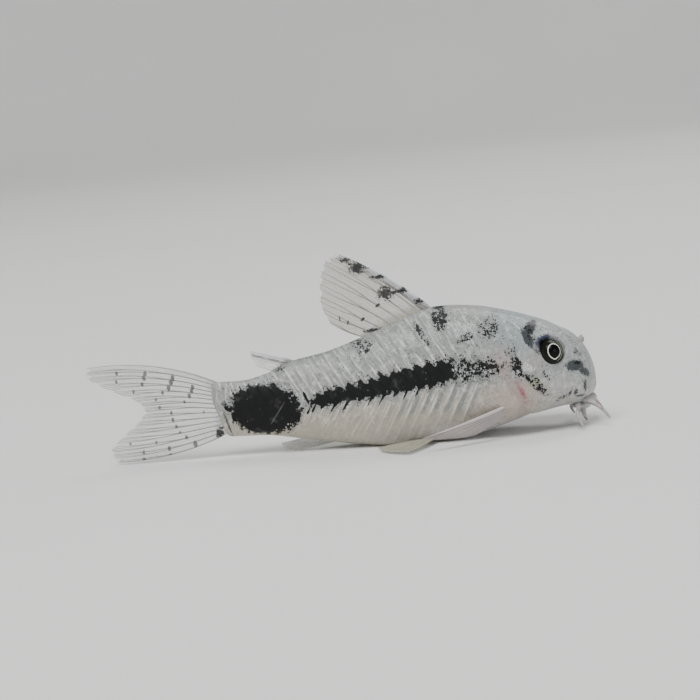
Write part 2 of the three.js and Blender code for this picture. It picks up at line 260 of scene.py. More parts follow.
class Wiring:
    """Builds a node tree with short calls. A feed is another node's socket, a number or a colour."""

    def __init__(self, tree: Tree) -> None:
        """Keeps the tree that nodes are added to."""
        self.tree = tree

    def node(self, kind: str, **settings: object) -> Node:
        """Adds a node.

        Args:
            kind: the node's type name, without ShaderNode at its front.
            settings: attributes to set on it.

        Returns:
            The node.
        """
        made = self.tree.nodes.new("ShaderNode" + kind)
        for name, value in settings.items():
            setattr(made, name, value)
        return made

    def feed(self, socket: Socket, value: Feed) -> None:
        """Links a socket to another, or sets its value.

        Args:
            socket: the input.
            value: what it gets.
        """
        if isinstance(value, Socket):
            self.tree.links.new(value, socket)
        elif socket.type == "RGBA" and isinstance(value, tuple) and len(value) == 3:
            socket.default_value = (*value, 1)
        else:
            socket.default_value = value

    def math(self, operation: str, *values: Feed, clamp: bool = False) -> Socket:
        """The result of a Math node.

        Args:
            operation: its operation.
            values: its inputs in order.
            clamp: whether the result is kept from 0 to 1.

        Returns:
            Its output.
        """
        made = self.node("Math", operation=operation, use_clamp=clamp)
        for socket, value in zip(made.inputs, values):
            self.feed(socket, value)
        return made.outputs[0]

    def chained(self, operation: str, first: Feed, others: Sequence[Feed]) -> Feed:
        """Takes several feeds together, one after the other.

        Args:
            operation: what each step does.
            first: the first feed.
            others: the rest.

        Returns:
            What they come to.
        """
        for other in others:
            first = self.math(operation, first, other)
        return first

    def add(self, first: Feed, *others: Feed) -> Feed:
        """The sum of several feeds."""
        return self.chained("ADD", first, others)

    def mul(self, first: Feed, *others: Feed) -> Feed:
        """The product of several feeds."""
        return self.chained("MULTIPLY", first, others)

    def most(self, first: Feed, *others: Feed) -> Feed:
        """The largest of several feeds."""
        return self.chained("MAXIMUM", first, others)

    def sub(self, a: Feed, b: Feed) -> Socket:
        """The first feed less the second."""
        return self.math("SUBTRACT", a, b)

    def gap(self, a: Feed, b: Feed) -> Socket:
        """How far apart two numbers are."""
        return self.math("ABSOLUTE", self.sub(a, b))

    def swing(self, noise: Socket, width: Feed) -> Feed:
        """Noise about one half, turned into a swing about zero that is this much as wide."""
        return self.mul(self.sub(noise, 0.5), width)

    def step(self, value: Feed, low: Feed, high: Feed) -> Socket:
        """A soft step from 0 to 1.

        Args:
            value: what is compared.
            low: where the step starts.
            high: where it ends, which may lie below low.

        Returns:
            The step's height at that value.
        """
        made = self.node("MapRange", interpolation_type="SMOOTHSTEP")
        for name, given in {"Value": value, "From Min": low, "From Max": high}.items():
            self.feed(made.inputs[name], given)
        return made.outputs["Result"]

    def window(self, value: Feed, rise: Pair, fall: Pair) -> Feed:
        """1 between a soft rise and a soft fall, each given by its two ends in rising order."""
        return self.mul(self.step(value, *rise), self.step(value, *reversed(fall)))

    def mix(self, share: Feed, a: Feed, b: Feed) -> Socket:
        """A colour between two.

        Args:
            share: how much of the second shows.
            a: the first colour.
            b: the second colour.

        Returns:
            The mixed colour.
        """
        made = self.node("Mix", data_type="RGBA")
        # The node has sockets for numbers and vectors too, so those for colours go by their place.
        for index, value in {0: share, 6: a, 7: b}.items():
            self.feed(made.inputs[index], value)
        return made.outputs[2]

    def layered(self, colour: Feed, *layers: tuple[Feed, Feed]) -> Feed:
        """A colour under layers of others.

        Args:
            colour: the lowest colour.
            layers: for each layer, how much of it shows and its colour, from the lowest up.

        Returns:
            The colour that all of them give together.
        """
        for share, tint in layers:
            colour = self.mix(share, colour, tint)
        return colour

    def noise(self, place: Feed, scale: float, detail: float = 2, rough: float = 0.5) -> Socket:
        """Smooth noise about one half.

        Args:
            place: where it is read.
            scale: how many features lie in one unit of place.
            detail: how many finer layers it has.
            rough: how strong they are.

        Returns:
            The noise.
        """
        made = self.node("TexNoise")
        self.feed(made.inputs["Vector"], place)
        made.inputs["Scale"].default_value = scale
        made.inputs["Detail"].default_value = detail
        made.inputs["Roughness"].default_value = rough
        return made.outputs["Fac"]

    def joined(self, x: Feed, y: Feed, z: Feed = 0.0) -> Socket:
        """Joins numbers to a vector.

        Args:
            x: its first number.
            y: its second.
            z: its third.

        Returns:
            The vector.
        """
        made = self.node("CombineXYZ")
        for socket, value in zip(made.inputs, (x, y, z)):
            self.feed(socket, value)
        return made.outputs[0]

    def parted(self, vector: Socket) -> tuple[Socket, ...]:
        """Parts a vector.

        Args:
            vector: the vector.

        Returns:
            Its three numbers.
        """
        made = self.node("SeparateXYZ")
        self.feed(made.inputs[0], vector)
        return tuple(made.outputs)

    def scaled(self, vector: Socket, factor: float) -> Socket:
        """Scales a vector.

        Args:
            vector: the vector.
            factor: the number.

        Returns:
            The vector times the number.
        """
        made = self.node("VectorMath", operation="SCALE")
        self.feed(made.inputs[0], vector)
        made.inputs["Scale"].default_value = factor
        return made.outputs[0]

    def place(self) -> Socket:
        """The place on the piece in millimetres, in the fish's own frame."""
        return self.scaled(self.node("TexCoord").outputs["Object"], 1 / MM)

    def surface_map(self) -> tuple[Socket, Socket]:
        """The two numbers of the piece's surface map."""
        u, v, _ = self.parted(self.node("UVMap", uv_map=SURFACE_MAP).outputs[0])
        return u, v

    def field(self, name: str) -> Socket:
        """A number that a piece holds for each vertex."""
        return self.node("Attribute", attribute_name=name).outputs["Fac"]

    def group(self, tree: Tree, **values: Feed) -> dict[str, Socket]:
        """Places a shared effect.

        Args:
            tree: its node group.
            values: its inputs by name.

        Returns:
            Its outputs by name.
        """
        made = self.node("Group", node_tree=tree)
        for name, value in values.items():
            self.feed(made.inputs[name], value)
        return {socket.name: socket for socket in made.outputs}

    def height(self, value: Feed, depth: float, under: Socket | None = None) -> Socket:
        """A normal bent by a height.

        Args:
            value: the height, from 0 to 1.
            depth: what 1 stands for, in millimetres.
            under: a normal to bend further.

        Returns:
            The normal.
        """
        made = self.node("Bump")
        made.inputs["Distance"].default_value = depth * MM
        self.feed(made.inputs["Height"], value)
        if under is not None:
            self.feed(made.inputs["Normal"], under)
        return made.outputs["Normal"]


def new_group(
    name: str, inputs: dict[str, float], outputs: Sequence[str],
) -> tuple[Wiring, dict[str, Socket], Node]:
    """Starts a shader node group whose sockets are all numbers, apart from the one called Place.

    Args:
        name: the group's name.
        inputs: its inputs other than Place, and their defaults.
        outputs: its outputs' names.

    Returns:
        Its wiring, its input sockets by name and its output node.
    """
    tree = bpy.data.node_groups.new(name, "ShaderNodeTree")
    tree.interface.new_socket(name="Place", in_out="INPUT", socket_type="NodeSocketVector")
    for title, value in inputs.items():
        socket = tree.interface.new_socket(name=title, in_out="INPUT", socket_type="NodeSocketFloat")
        socket.default_value = value
    for title in outputs:
        tree.interface.new_socket(name=title, in_out="OUTPUT", socket_type="NodeSocketFloat")
    entry = tree.nodes.new("NodeGroupInput")
    leave = tree.nodes.new("NodeGroupOutput")
    return Wiring(tree), {socket.name: socket for socket in entry.outputs if socket.name}, leave


def new_material(name: str, **settings: object) -> tuple[Material, Wiring, Node]:
    """Starts a material with one Principled shader.

    Args:
        name: the material's name.
        settings: the shader's inputs by name, with _ for a space.

    Returns:
        The material, its wiring and its shader.
    """
    material = bpy.data.materials.new(name)
    material.use_nodes = True
    wiring = Wiring(material.node_tree)
    shader = material.node_tree.nodes["Principled BSDF"]
    for title, value in settings.items():
        wiring.feed(shader.inputs[title.replace("_", " ")], value)
    return material, wiring, shader


def deselect() -> None:
    """Leaves edit mode and clears the selection."""
    if bpy.context.object and bpy.context.object.mode != "OBJECT":
        bpy.ops.object.mode_set(mode="OBJECT")
    bpy.ops.object.select_all(action="DESELECT")


def select_only(*pieces: Piece) -> None:
    """Selects these objects alone.

    Args:
        pieces: the objects, the active one first.
    """
    deselect()
    for piece in pieces:
        piece.select_set(True)
    bpy.context.view_layer.objects.active = pieces[0]


def unit(vectors: Array) -> Array:
    """The same directions at length one."""
    smallest = 1e-12
    return vectors / np.maximum(np.linalg.norm(vectors, axis=-1, keepdims=True), smallest)


def points_of(piece: Piece) -> Array:
    """Reads the vertices of a mesh.

    Args:
        piece: the mesh object.

    Returns:
        Their places in millimetres, one row each.
    """
    flat = np.empty(3 * len(piece.data.vertices))
    piece.data.vertices.foreach_get("co", flat)
    return flat.reshape(-1, 3) / MM


def set_points(piece: Piece, points: Array) -> None:
    """Moves the vertices of a mesh.

    Args:
        piece: the mesh object.
        points: the new places in millimetres, one row each.
    """
    piece.data.vertices.foreach_set("co", (points * MM).astype(np.float32).ravel())
    piece.data.update()


def swing_tail(piece: Piece) -> None:
    """Gives a piece that was made straight the swing of the tail."""
    set_points(piece, FORM.swung(points_of(piece)))


def dress(piece: Piece, finish: Material) -> None:
    """Gives a piece its one material and reports it."""
    piece.data.materials.append(finish)
    log.info("%s: %d faces", piece.name, len(piece.data.polygons))


def write_map(piece: Piece, values: Array) -> None:
    """Stores two numbers for each vertex as the piece's only surface map.

    Args:
        piece: the mesh object.
        values: the two numbers, one row for each vertex.
    """
    while piece.data.uv_layers:
        piece.data.uv_layers.remove(piece.data.uv_layers[0])
    corners = np.empty(len(piece.data.loops), dtype=np.int32)
    piece.data.loops.foreach_get("vertex_index", corners)
    layer = piece.data.uv_layers.new(name=SURFACE_MAP)
    layer.uv.foreach_set("vector", values[corners].astype(np.float32).ravel())


def write_field(piece: Piece, name: str, values: Array) -> None:
    """Stores a number for each vertex, which a finish reads by name."""
    field_of = piece.data.attributes.new(name=name, type="FLOAT", domain="POINT")
    field_of.data.foreach_set("value", values.astype(np.float32))


def close_up(piece: Piece, reach: float = 0.0005) -> None:
    """Merges doubled vertices, turns all faces outwards and shades the piece smooth.

    Args:
        piece: a mesh whose seams and poles lie together.
        reach: how far apart merged vertices may be, in millimetres.
    """
    select_only(piece)
    bpy.ops.object.mode_set(mode="EDIT")
    bpy.ops.mesh.select_all(action="SELECT")
    bpy.ops.mesh.remove_doubles(threshold=reach * MM)
    bpy.ops.mesh.dissolve_degenerate(threshold=1e-9)
    bpy.ops.mesh.normals_make_consistent(inside=False)
    bpy.ops.object.mode_set(mode="OBJECT")
    bpy.ops.object.shade_smooth()


def shaped_grid(name: str, cells: Cells, shape: Shape) -> Piece:
    """A grid primitive with its vertices put in place by a shape.

    Args:
        name: the object's name.
        cells: how many cells it has along and across.
        shape: gives the points in millimetres and the two map numbers for places from 0 to 1 both ways.

    Returns:
        The mesh object, with its surface map.
    """
    deselect()
    bpy.ops.mesh.primitive_grid_add(x_subdivisions=cells[0], y_subdivisions=cells[1], size=1)
    grid = bpy.context.object
    grid.name = grid.data.name = name
    u, v, _ = (points_of(grid) * MM + 0.5).T
    points, numbers = shape(u, v)
    set_points(grid, points)
    write_map(grid, numbers)
    return grid


def tube(
    name: str, path: Curve, radius: Curve, cells: Cells, numbers: Curve | None = None,
) -> Piece:
    """A round tube along a path, closed with a rounded end at both ends.

    Args:
        name: the object's name.
        path: gives points in millimetres for places from 0 to 1.
        radius: gives the radius in millimetres for the same places.
        cells: the cells along and round the tube, without its ends.
        numbers: gives the two map numbers for the same places, which are else those along and round it.

    Returns:
        The mesh object.
    """
    end_cells = 3
    all_cells = cells[0] + 2 * end_cells
    end = end_cells / all_cells
    step = 1e-3
    steepest = 0.8

    def wrap(u: Array, v: Array) -> tuple[Array, Array]:
        """The tube's points and map numbers, from one rounded end to the other."""
        along = np.clip((u - end) / (1 - 2 * end), 0, 1)
        into = np.clip(np.minimum(u, 1 - u) / end, 0, 1) * math.pi / 2
        way = unit(path(np.minimum(along + step, 1)) - path(np.maximum(along - step, 0)))
        aside = np.array([0.03, 0.02, 1.0]) if abs(way[0][2]) < steepest else np.array([0.03, 1.0, 0.02])
        first = unit(np.cross(way, aside))
        second = np.cross(way, first)
        turn = (2 * math.pi * v)[:, None]
        ring = np.sin(into)[:, None] * (np.cos(turn) * first + np.sin(turn) * second)
        cap = np.where(u < 0.5, -1, 1)[:, None] * np.cos(into)[:, None] * way
        points = path(along) + radius(along)[:, None] * (ring + cap)
        return points, numbers(along) if numbers else np.stack([along, v], axis=-1)

    piece = shaped_grid(name, (all_cells, cells[1]), wrap)
    close_up(piece)
    return piece


def join(name: str, pieces: Sequence[Piece]) -> Piece:
    """Joins several mesh objects into the first of them.

    Args:
        name: its new name.
        pieces: the objects, at least two.

    Returns:
        The joined object.
    """
    select_only(*pieces)
    bpy.ops.object.join()
    joined = bpy.context.view_layer.objects.active
    joined.name = joined.data.name = name
    return joined


def line_through(*places: Triple) -> Curve:
    """A smooth path through a few places, evenly spread along it.

    Args:
        places: where it goes, in order.

    Returns:
        What gives its points for shares of the way.
    """
    shares = np.linspace(0, 1, len(places))
    graphs = [Graph(*zip(shares, column)) for column in zip(*places)]
    return lambda t: np.stack([graph(t) for graph in graphs], axis=-1)


class Tint(Enum):
    """What a marking is made of, as the name of the field that holds it."""

    INK = "ink"
    PEPPER = "pepper"
    SMOKE = "smoke"
    GLEAM = "gleam"
    GOLD = "gold"
    FLESH = "flesh"
    BLUSH = "blush"
    BLUE = "blue"


@dataclass(frozen=True)
class Mark:
    """A soft oval marking on both sides of the fish, in millimetres."""

    tint: Tint
    place: Triple
    size: Pair
    turn: float = 0.0
    strength: float = 1.0
    softness: float = 0.5
    depth: float = 1.3

    def strength_at(self, points: Array) -> Array:
        """How strongly the marking shows.

        Args:
            points: places on the skin.

        Returns:
            Its strength at each place, full in the middle and gone beyond the edge.
        """
        x, z = points[..., 0] - self.place[0], points[..., 2] - self.place[2]
        y = np.abs(points[..., 1]) - self.place[1]
        turn = math.radians(self.turn)
        along = (x * math.cos(turn) + z * math.sin(turn)) / self.size[0]
        across = (z * math.cos(turn) - x * math.sin(turn)) / self.size[1]
        apart = np.sqrt(along ** 2 + across ** 2 + (y / self.depth) ** 2)
        return self.strength * smooth_step(1 + self.softness, 1 - self.softness, apart)


MARKS = (
    # the back, from the dorsal fin to the small fin behind it
    Mark(Tint.PEPPER, (2.6, 1.2, 7.95), (0.52, 1.0), -4, 1.0, 0.3, 2.0),
    Mark(Tint.PEPPER, (2.62, 1.0, 8.1), (0.3, 0.55), -4, 0.5, 0.4, 2.0),
    Mark(Tint.PEPPER, (1.33, 1.76, 7.1), (0.2, 0.9), 30, 0.95, 0.4),
    Mark(Tint.PEPPER, (1.0, 1.6, 7.4), (0.3, 0.4), 0, 0.35, 0.6),
    Mark(Tint.PEPPER, (-2.4, 0.9, 6.5), (0.6, 0.48), -10, 0.8, 0.45, 1.6),
    Mark(Tint.PEPPER, (-2.75, 0.4, 6.75), (0.5, 0.25), 0, 0.6, 0.4),
    Mark(Tint.PEPPER, (-7.96, 0.45, 5.4), (0.5, 0.3), 20, 0.6, 0.5),
    Mark(Tint.SMOKE, (-5.1, 0.0, 6.26), (2.9, 0.24), 13.5, 0.62, 0.8, 0.8),
    Mark(Tint.SMOKE, (-9.9, 0.0, 4.98), (1.6, 0.16), 6, 0.5, 0.8, 0.5),
    # the shoulder
    Mark(Tint.PEPPER, (5.58, 2.0, 7.02), (0.72, 0.6), 0, 0.8, 0.5),
    Mark(Tint.PEPPER, (4.1, 2.4, 6.62), (0.62, 0.26), 22, 0.75, 0.4),
    Mark(Tint.PEPPER, (5.96, 1.4, 7.65), (0.4, 0.28), 0, 0.5, 0.6),
    # the nape, in a bent stroke from the back to behind the eye
    Mark(Tint.SMOKE, (8.25, 1.8, 6.8), (0.64, 0.3), 40, 1.3, 0.6),
    Mark(Tint.SMOKE, (7.95, 2.2, 6.2), (0.28, 0.66), 25, 1.3, 0.6),
    Mark(Tint.PEPPER, (8.1, 1.9, 6.5), (0.3, 0.62), 14, 0.85, 0.5),
    Mark(Tint.PEPPER, (8.1, 2.2, 5.75), (0.12, 0.22), 30, 0.8, 0.5),
    Mark(Tint.SMOKE, (8.3, 1.0, 7.2), (0.6, 0.5), 0, 0.42, 0.8),
    Mark(Tint.SMOKE, (7.1, 1.5, 7.3), (0.7, 0.35), -20, 0.38, 0.8),
    Mark(Tint.GLEAM, (7.46, 1.9, 6.9), (0.4, 0.06), -45, 1.0, 0.4),
    # round the eye
    Mark(Tint.GLEAM, (8.75, 1.9, 6.3), (0.7, 0.2), 20, 0.5, 0.6),
    Mark(Tint.BLUE, (8.9, 2.1, 5.95), (0.62, 0.34), 25, 1.0, 0.5),
    Mark(Tint.INK, (8.88, 2.1, 5.6), (0.24, 0.4), 20, 0.9, 0.6),
    Mark(Tint.SMOKE, (8.6, 2.1, 5.45), (0.34, 0.55), 0, 0.9, 0.8),
    Mark(Tint.FLESH, (8.35, 2.6, 4.9), (0.55, 0.8), 0, 0.35, 0.7),
    Mark(Tint.SMOKE, (10.82, 2.0, 4.14), (0.66, 0.36), -10, 1.2, 0.6),
    Mark(Tint.INK, (11.0, 1.9, 4.28), (0.3, 0.12), -8, 0.75, 0.6),
    Mark(Tint.SMOKE, (11.42, 1.7, 3.66), (0.56, 0.26), -44, 1.0, 0.65),
    Mark(Tint.SMOKE, (10.66, 2.1, 3.78), (0.45, 0.22), -5, 0.55, 0.8),
    Mark(Tint.SMOKE, (10.12, 2.2, 4.2), (0.14, 0.12), 0, 0.6, 0.8),
    Mark(Tint.SMOKE, (10.75, 1.3, 5.7), (0.3, 0.45), 0, 0.5, 0.8),
    Mark(Tint.SMOKE, (10.98, 1.75, 5.0), (0.26, 0.22), 20, 0.8, 0.8),
    Mark(Tint.SMOKE, (11.2, 1.6, 4.76), (0.2, 0.2), 0, 0.7, 0.8),
    Mark(Tint.SMOKE, (11.9, 0.7, 3.6), (0.4, 0.5), 0, 0.25, 0.8),
    # the lips and the chin
    Mark(Tint.SMOKE, (11.4, 1.7, 2.7), (0.13, 0.44), 0, 1.0, 0.7),
    Mark(Tint.SMOKE, (10.38, 2.0, 2.42), (0.13, 0.3), -28, 1.0, 0.8),
    Mark(Tint.SMOKE, (10.76, 1.9, 2.44), (0.12, 0.26), -20, 1.0, 0.8),
    Mark(Tint.SMOKE, (11.02, 1.7, 2.14), (0.4, 0.1), -5, 1.0, 0.8),
    Mark(Tint.SMOKE, (9.85, 2.05, 2.15), (0.7, 0.2), 28, 0.7, 0.8),
    # the cheek and the gill cover
    Mark(Tint.PEPPER, (8.76, 2.65, 3.98), (0.12, 0.14), 0, 1.0, 0.4),
    Mark(Tint.PEPPER, (8.98, 2.6, 3.62), (0.12, 0.22), 25, 1.0, 0.4),
    Mark(Tint.PEPPER, (6.83, 2.8, 5.5), (0.4, 0.3), 0, 0.6, 0.4),
    Mark(Tint.PEPPER, (7.1, 2.9, 4.55), (0.38, 0.8), 14, 0.9, 0.45),
    Mark(Tint.PEPPER, (8.2, 2.8, 3.32), (0.32, 1.05), 43, 0.95, 0.4),
    Mark(Tint.GLEAM, (7.75, 2.8, 4.42), (0.6, 0.34), -30, 0.85, 0.5),
    Mark(Tint.GLEAM, (7.15, 2.9, 4.15), (0.36, 0.5), 0, 0.7, 0.5),
    Mark(Tint.GOLD, (8.12, 2.8, 3.34), (0.44, 0.9), 43, 0.95, 0.5),
    Mark(Tint.GOLD, (7.85, 2.85, 2.8), (0.35, 0.4), 0, 0.4, 0.6),
    Mark(Tint.BLUSH, (7.24, 2.95, 3.02), (0.2, 0.72), 24, 0.95, 0.75),
    Mark(Tint.BLUSH, (7.36, 2.9, 2.6), (0.34, 0.7), 28, 0.5, 0.9),
    Mark(Tint.BLUSH, (7.4, 2.94, 4.0), (0.28, 0.16), 0, 0.7, 0.5),
    Mark(Tint.FLESH, (6.95, 2.9, 2.5), (1.2, 1.3), 20, 0.75, 0.9, 2.0),
    Mark(Tint.FLESH, (5.9, 3.0, 2.7), (1.4, 0.8), 10, 0.55, 0.9, 2.0),
    Mark(Tint.FLESH, (6.15, 3.0, 4.8), (0.75, 1.0), 0, 0.6, 0.9),
    # the end of the tail stem
    Mark(Tint.SMOKE, (-11.5, 0.3, 2.2), (0.1, 1.1), 14, 0.9, 0.7, 0.8),
    Mark(Tint.SMOKE, (-11.6, 0.5, 3.55), (0.22, 0.2), 0, 0.9, 0.7),
    Mark(Tint.INK, (-11.4, 0.5, 3.2), (0.3, 0.12), -30, 1.0, 0.3),
    # over and under the blotch on the tail stem, and between it and the band
    Mark(Tint.SMOKE, (-8.9, 1.0, 4.5), (1.6, 0.4), 4, 0.62, 0.8),
    Mark(Tint.SMOKE, (-4.6, 1.6, 4.1), (0.6, 0.4), 4, 0.4, 0.8),
    Mark(Tint.GLEAM, (-7.4, 1.3, 1.9), (0.8, 0.35), 30, 0.6, 0.6),
    Mark(Tint.INK, (-5.9, 1.3, 2.9), (0.08, 0.3), -28, 0.9, 0.4),
    Mark(Tint.INK, (-6.25, 1.3, 2.75), (0.07, 0.2), -28, 0.9, 0.4),
    Mark(Tint.INK, (-6.35, 1.3, 3.68), (0.1, 0.36), 20, 1.0, 0.3),
)


def scattered(count: Array) -> Array:
    """A fixed number from 0 to 1 for each whole count, with no pattern to it."""
    return (np.sin(np.floor(count) * 12.9898 + 4.1) * 43758.5453) % 1.0


@dataclass(frozen=True)
class SideBand:
    """The dark band along the side: black behind, peppered in front, with a saw edge from the plates."""

    middle: Graph = Graph(
        (-6.1, 3.28), (-5.0, 3.46), (-2.35, 3.84), (0.35, 4.31), (1.55, 4.46), (2.9, 4.66), (4.5, 4.64),
        (6.3, 4.6))
    half: Graph = Graph(
        (-6.1, 0.02), (-5.6, 0.4), (-5.0, 0.52), (-2.35, 0.6), (0.35, 0.72), (1.55, 0.76), (2.9, 0.72),
        (4.5, 0.6), (5.6, 0.45), (6.2, 0.02))
    ends: Pair = (-6.1, 6.2)
    solid_to: float = 2.7
    upper_tooth: float = 0.3
    lower_tooth: float = 0.62

    def inside(self, points: Array, counts: tuple[Array, Array]) -> Array:
        """How far inside the band a place is.

        Args:
            points: places on the skin.
            counts: how many upper and lower plates lie before each place.

        Returns:
            Millimetres inside the edge, below 0 outside it.
        """
        x, z = points[..., 0], points[..., 2]
        up = z - self.middle(x)
        above, below = counts[0] % 1.0, counts[1] % 1.0
        tooth = self.upper_tooth * (0.55 + 0.8 * scattered(counts[0]))
        upper_edge = self.half(x) + tooth * (np.sin(math.pi * above) ** 1.2 - 0.6)
        spike = np.clip((below - 0.3) / 0.6, 0, 1) * smooth_step(1.0, 0.86, below)
        length = self.lower_tooth * (0.45 + 0.9 * scattered(counts[1] + 40)) * smooth_step(4.5, 0.5, x)
        lower_edge = self.half(x) - 0.12 + length * (spike ** 2.2 - 0.12)
        return np.minimum.reduce([upper_edge - up, lower_edge + up, x - self.ends[0], self.ends[1] - x])


@dataclass(frozen=True)
class StemBlotch:
    """The large black oval on the tail stem, with a ragged edge."""

    middle: Pair = (-9.02, 3.02)
    size: Pair = (2.2, 1.56)
    lean: float = 0.12
    squareness: float = 2.15
    tooth: float = 0.2

    def inside(self, points: Array, counts: tuple[Array, Array]) -> Array:
        """How far inside the blotch a place is.

        Args:
            points: places on the skin.
            counts: how many upper and lower plates lie before each place.

        Returns:
            Millimetres inside the edge, below 0 outside it.
        """
        x, z = points[..., 0] - self.middle[0], points[..., 2] - self.middle[1]
        wide = np.abs((x + self.lean * z) / self.size[0]) ** self.squareness
        high = np.abs(z / self.size[1]) ** self.squareness
        apart = (wide + high) ** (1 / self.squareness)
        teeth = np.sin(math.pi * (np.where(z > 0, *counts) % 1)) ** 2 - 0.5
        return (1 - apart) * self.size[1] + self.tooth * teeth * (0.5 + scattered(counts[0]))


class Effects:
    """Effects that several finishes share, each a node group that gives numbers alone."""

    def __init__(self) -> None:
        """Makes the groups."""
        self.specks = self.make_specks()
        self.mottle = self.make_mottle()
        self.grain = self.make_grain()

    @staticmethod
    def make_specks() -> Tree:
        """Small uneven dots: Density says how many cells hold one and how large it is.

        Returns:
            The node group.
        """
        wobble_scale, wobble_reach = 7, 0.16
        least_size, growth, soft_edge = 0.3, 0.55, 0.16
        wiring, entry, leave = new_group("specks", {"Scale": 8, "Density": 0.3}, ("Mask",))
        wobble = wiring.node("TexNoise")
        wiring.feed(wobble.inputs["Vector"], entry["Place"])
        wobble.inputs["Scale"].default_value = wobble_scale
        bent = wiring.node("VectorMath", operation="ADD")
        wiring.feed(bent.inputs[0], entry["Place"])
        wiring.feed(bent.inputs[1], wiring.scaled(wobble.outputs["Color"], wobble_reach))
        cell = wiring.node("TexVoronoi")
        wiring.feed(cell.inputs["Vector"], bent.outputs[0])
        wiring.feed(cell.inputs["Scale"], entry["Scale"])
        chance = wiring.parted(cell.outputs["Color"])[0]
        size = wiring.add(least_size, wiring.mul(entry["Density"], growth))
        dot = wiring.step(cell.outputs["Distance"], size, wiring.sub(size, soft_edge))
        held = wiring.step(chance, wiring.add(entry["Density"], 0.02), wiring.sub(entry["Density"], 0.02))
        wiring.feed(leave.inputs["Mask"], wiring.mul(dot, held))
        return wiring.tree

    @staticmethod
    def make_mottle() -> Tree:
        """Cloudy patches of two sizes about one half.

        Returns:
            The node group.
        """
        wiring, entry, leave = new_group("mottle", {}, ("Broad", "Fine"))
        wiring.feed(leave.inputs["Broad"], wiring.noise(entry["Place"], 0.55, 3))
        wiring.feed(leave.inputs["Fine"], wiring.noise(entry["Place"], 3.2, 4, 0.6))
        return wiring.tree

    @staticmethod
    def make_grain() -> Tree:
        """The skin's fine pores and wrinkles as a height, and the wet gloss over them as a roughness.

        Returns:
            The node group.
        """
        wiring, entry, leave = new_group("wet_grain", {"Rough": 0.35}, ("Height", "Roughness"))
        pores = wiring.noise(entry["Place"], 11, 3, 0.6)
        folds = wiring.noise(entry["Place"], 2.6, 2)
        wiring.feed(leave.inputs["Height"], wiring.add(wiring.mul(pores, 0.6), wiring.mul(folds, 0.4)))
        dry = wiring.add(wiring.swing(pores, 0.3), wiring.swing(folds, 0.24))
        wiring.feed(leave.inputs["Roughness"], wiring.math("ADD", entry["Rough"], dry, clamp=True))
        return wiring.tree


@dataclass(frozen=True)
class SkinReading:
    """What the skin's finish reads at each place on the skin."""

    wiring: Wiring
    effects: Effects
    place: Socket
    along: Socket
    over: Socket
    broad: Socket
    fine: Socket
    torn: Socket
    marks: dict[Tint, Socket]

    @classmethod
    def of(cls, wiring: Wiring, effects: Effects) -> "SkinReading":
        """Places the nodes that read it.

        Args:
            wiring: the material's wiring.
            effects: the shared effects.

        Returns:
            The place, the place along the side line, the height over it, the patches and the markings.
        """
        place = wiring.place()
        along, over = wiring.surface_map()
        mottle = wiring.group(effects.mottle, Place=place)
        torn = wiring.noise(place, 5.0, 4, 0.65)
        marks = {tint: wiring.field(tint.value) for tint in Tint}
        return cls(wiring, effects, place, along, over, mottle["Broad"], mottle["Fine"], torn, marks)

    def dots(self, scale: float, density: Feed) -> Socket:
        """Small dots, by how many lie along a millimetre and how thickly they are sown."""
        return self.wiring.group(self.effects.specks, Place=self.place, Scale=scale, Density=density)["Mask"]

    def frayed(self, tint: Tint, edge: Feed, low: float, high: float, kept: Pair) -> Feed:
        """How strongly a marking shows with its edge frayed.

        Args:
            tint: what the marking is made of.
            edge: the swing that frays it.
            low: the frayed strength at which it starts to show.
            high: the one at which it shows fully.
            kept: the marking's own strengths between which it fades out, so no scrap lies far off.

        Returns:
            The share.
        """
        wiring, own = self.wiring, self.marks[tint]
        return wiring.mul(wiring.step(wiring.add(own, edge), low, high), wiring.step(own, *kept))

    def felt(self, tint: Tint, low: float, high: float, ragged: float) -> Feed:
        """How strongly a marking shows with the common torn edge, as ragged as given."""
        return self.frayed(tint, self.wiring.swing(self.torn, ragged), low, high, (0.0, 0.15))


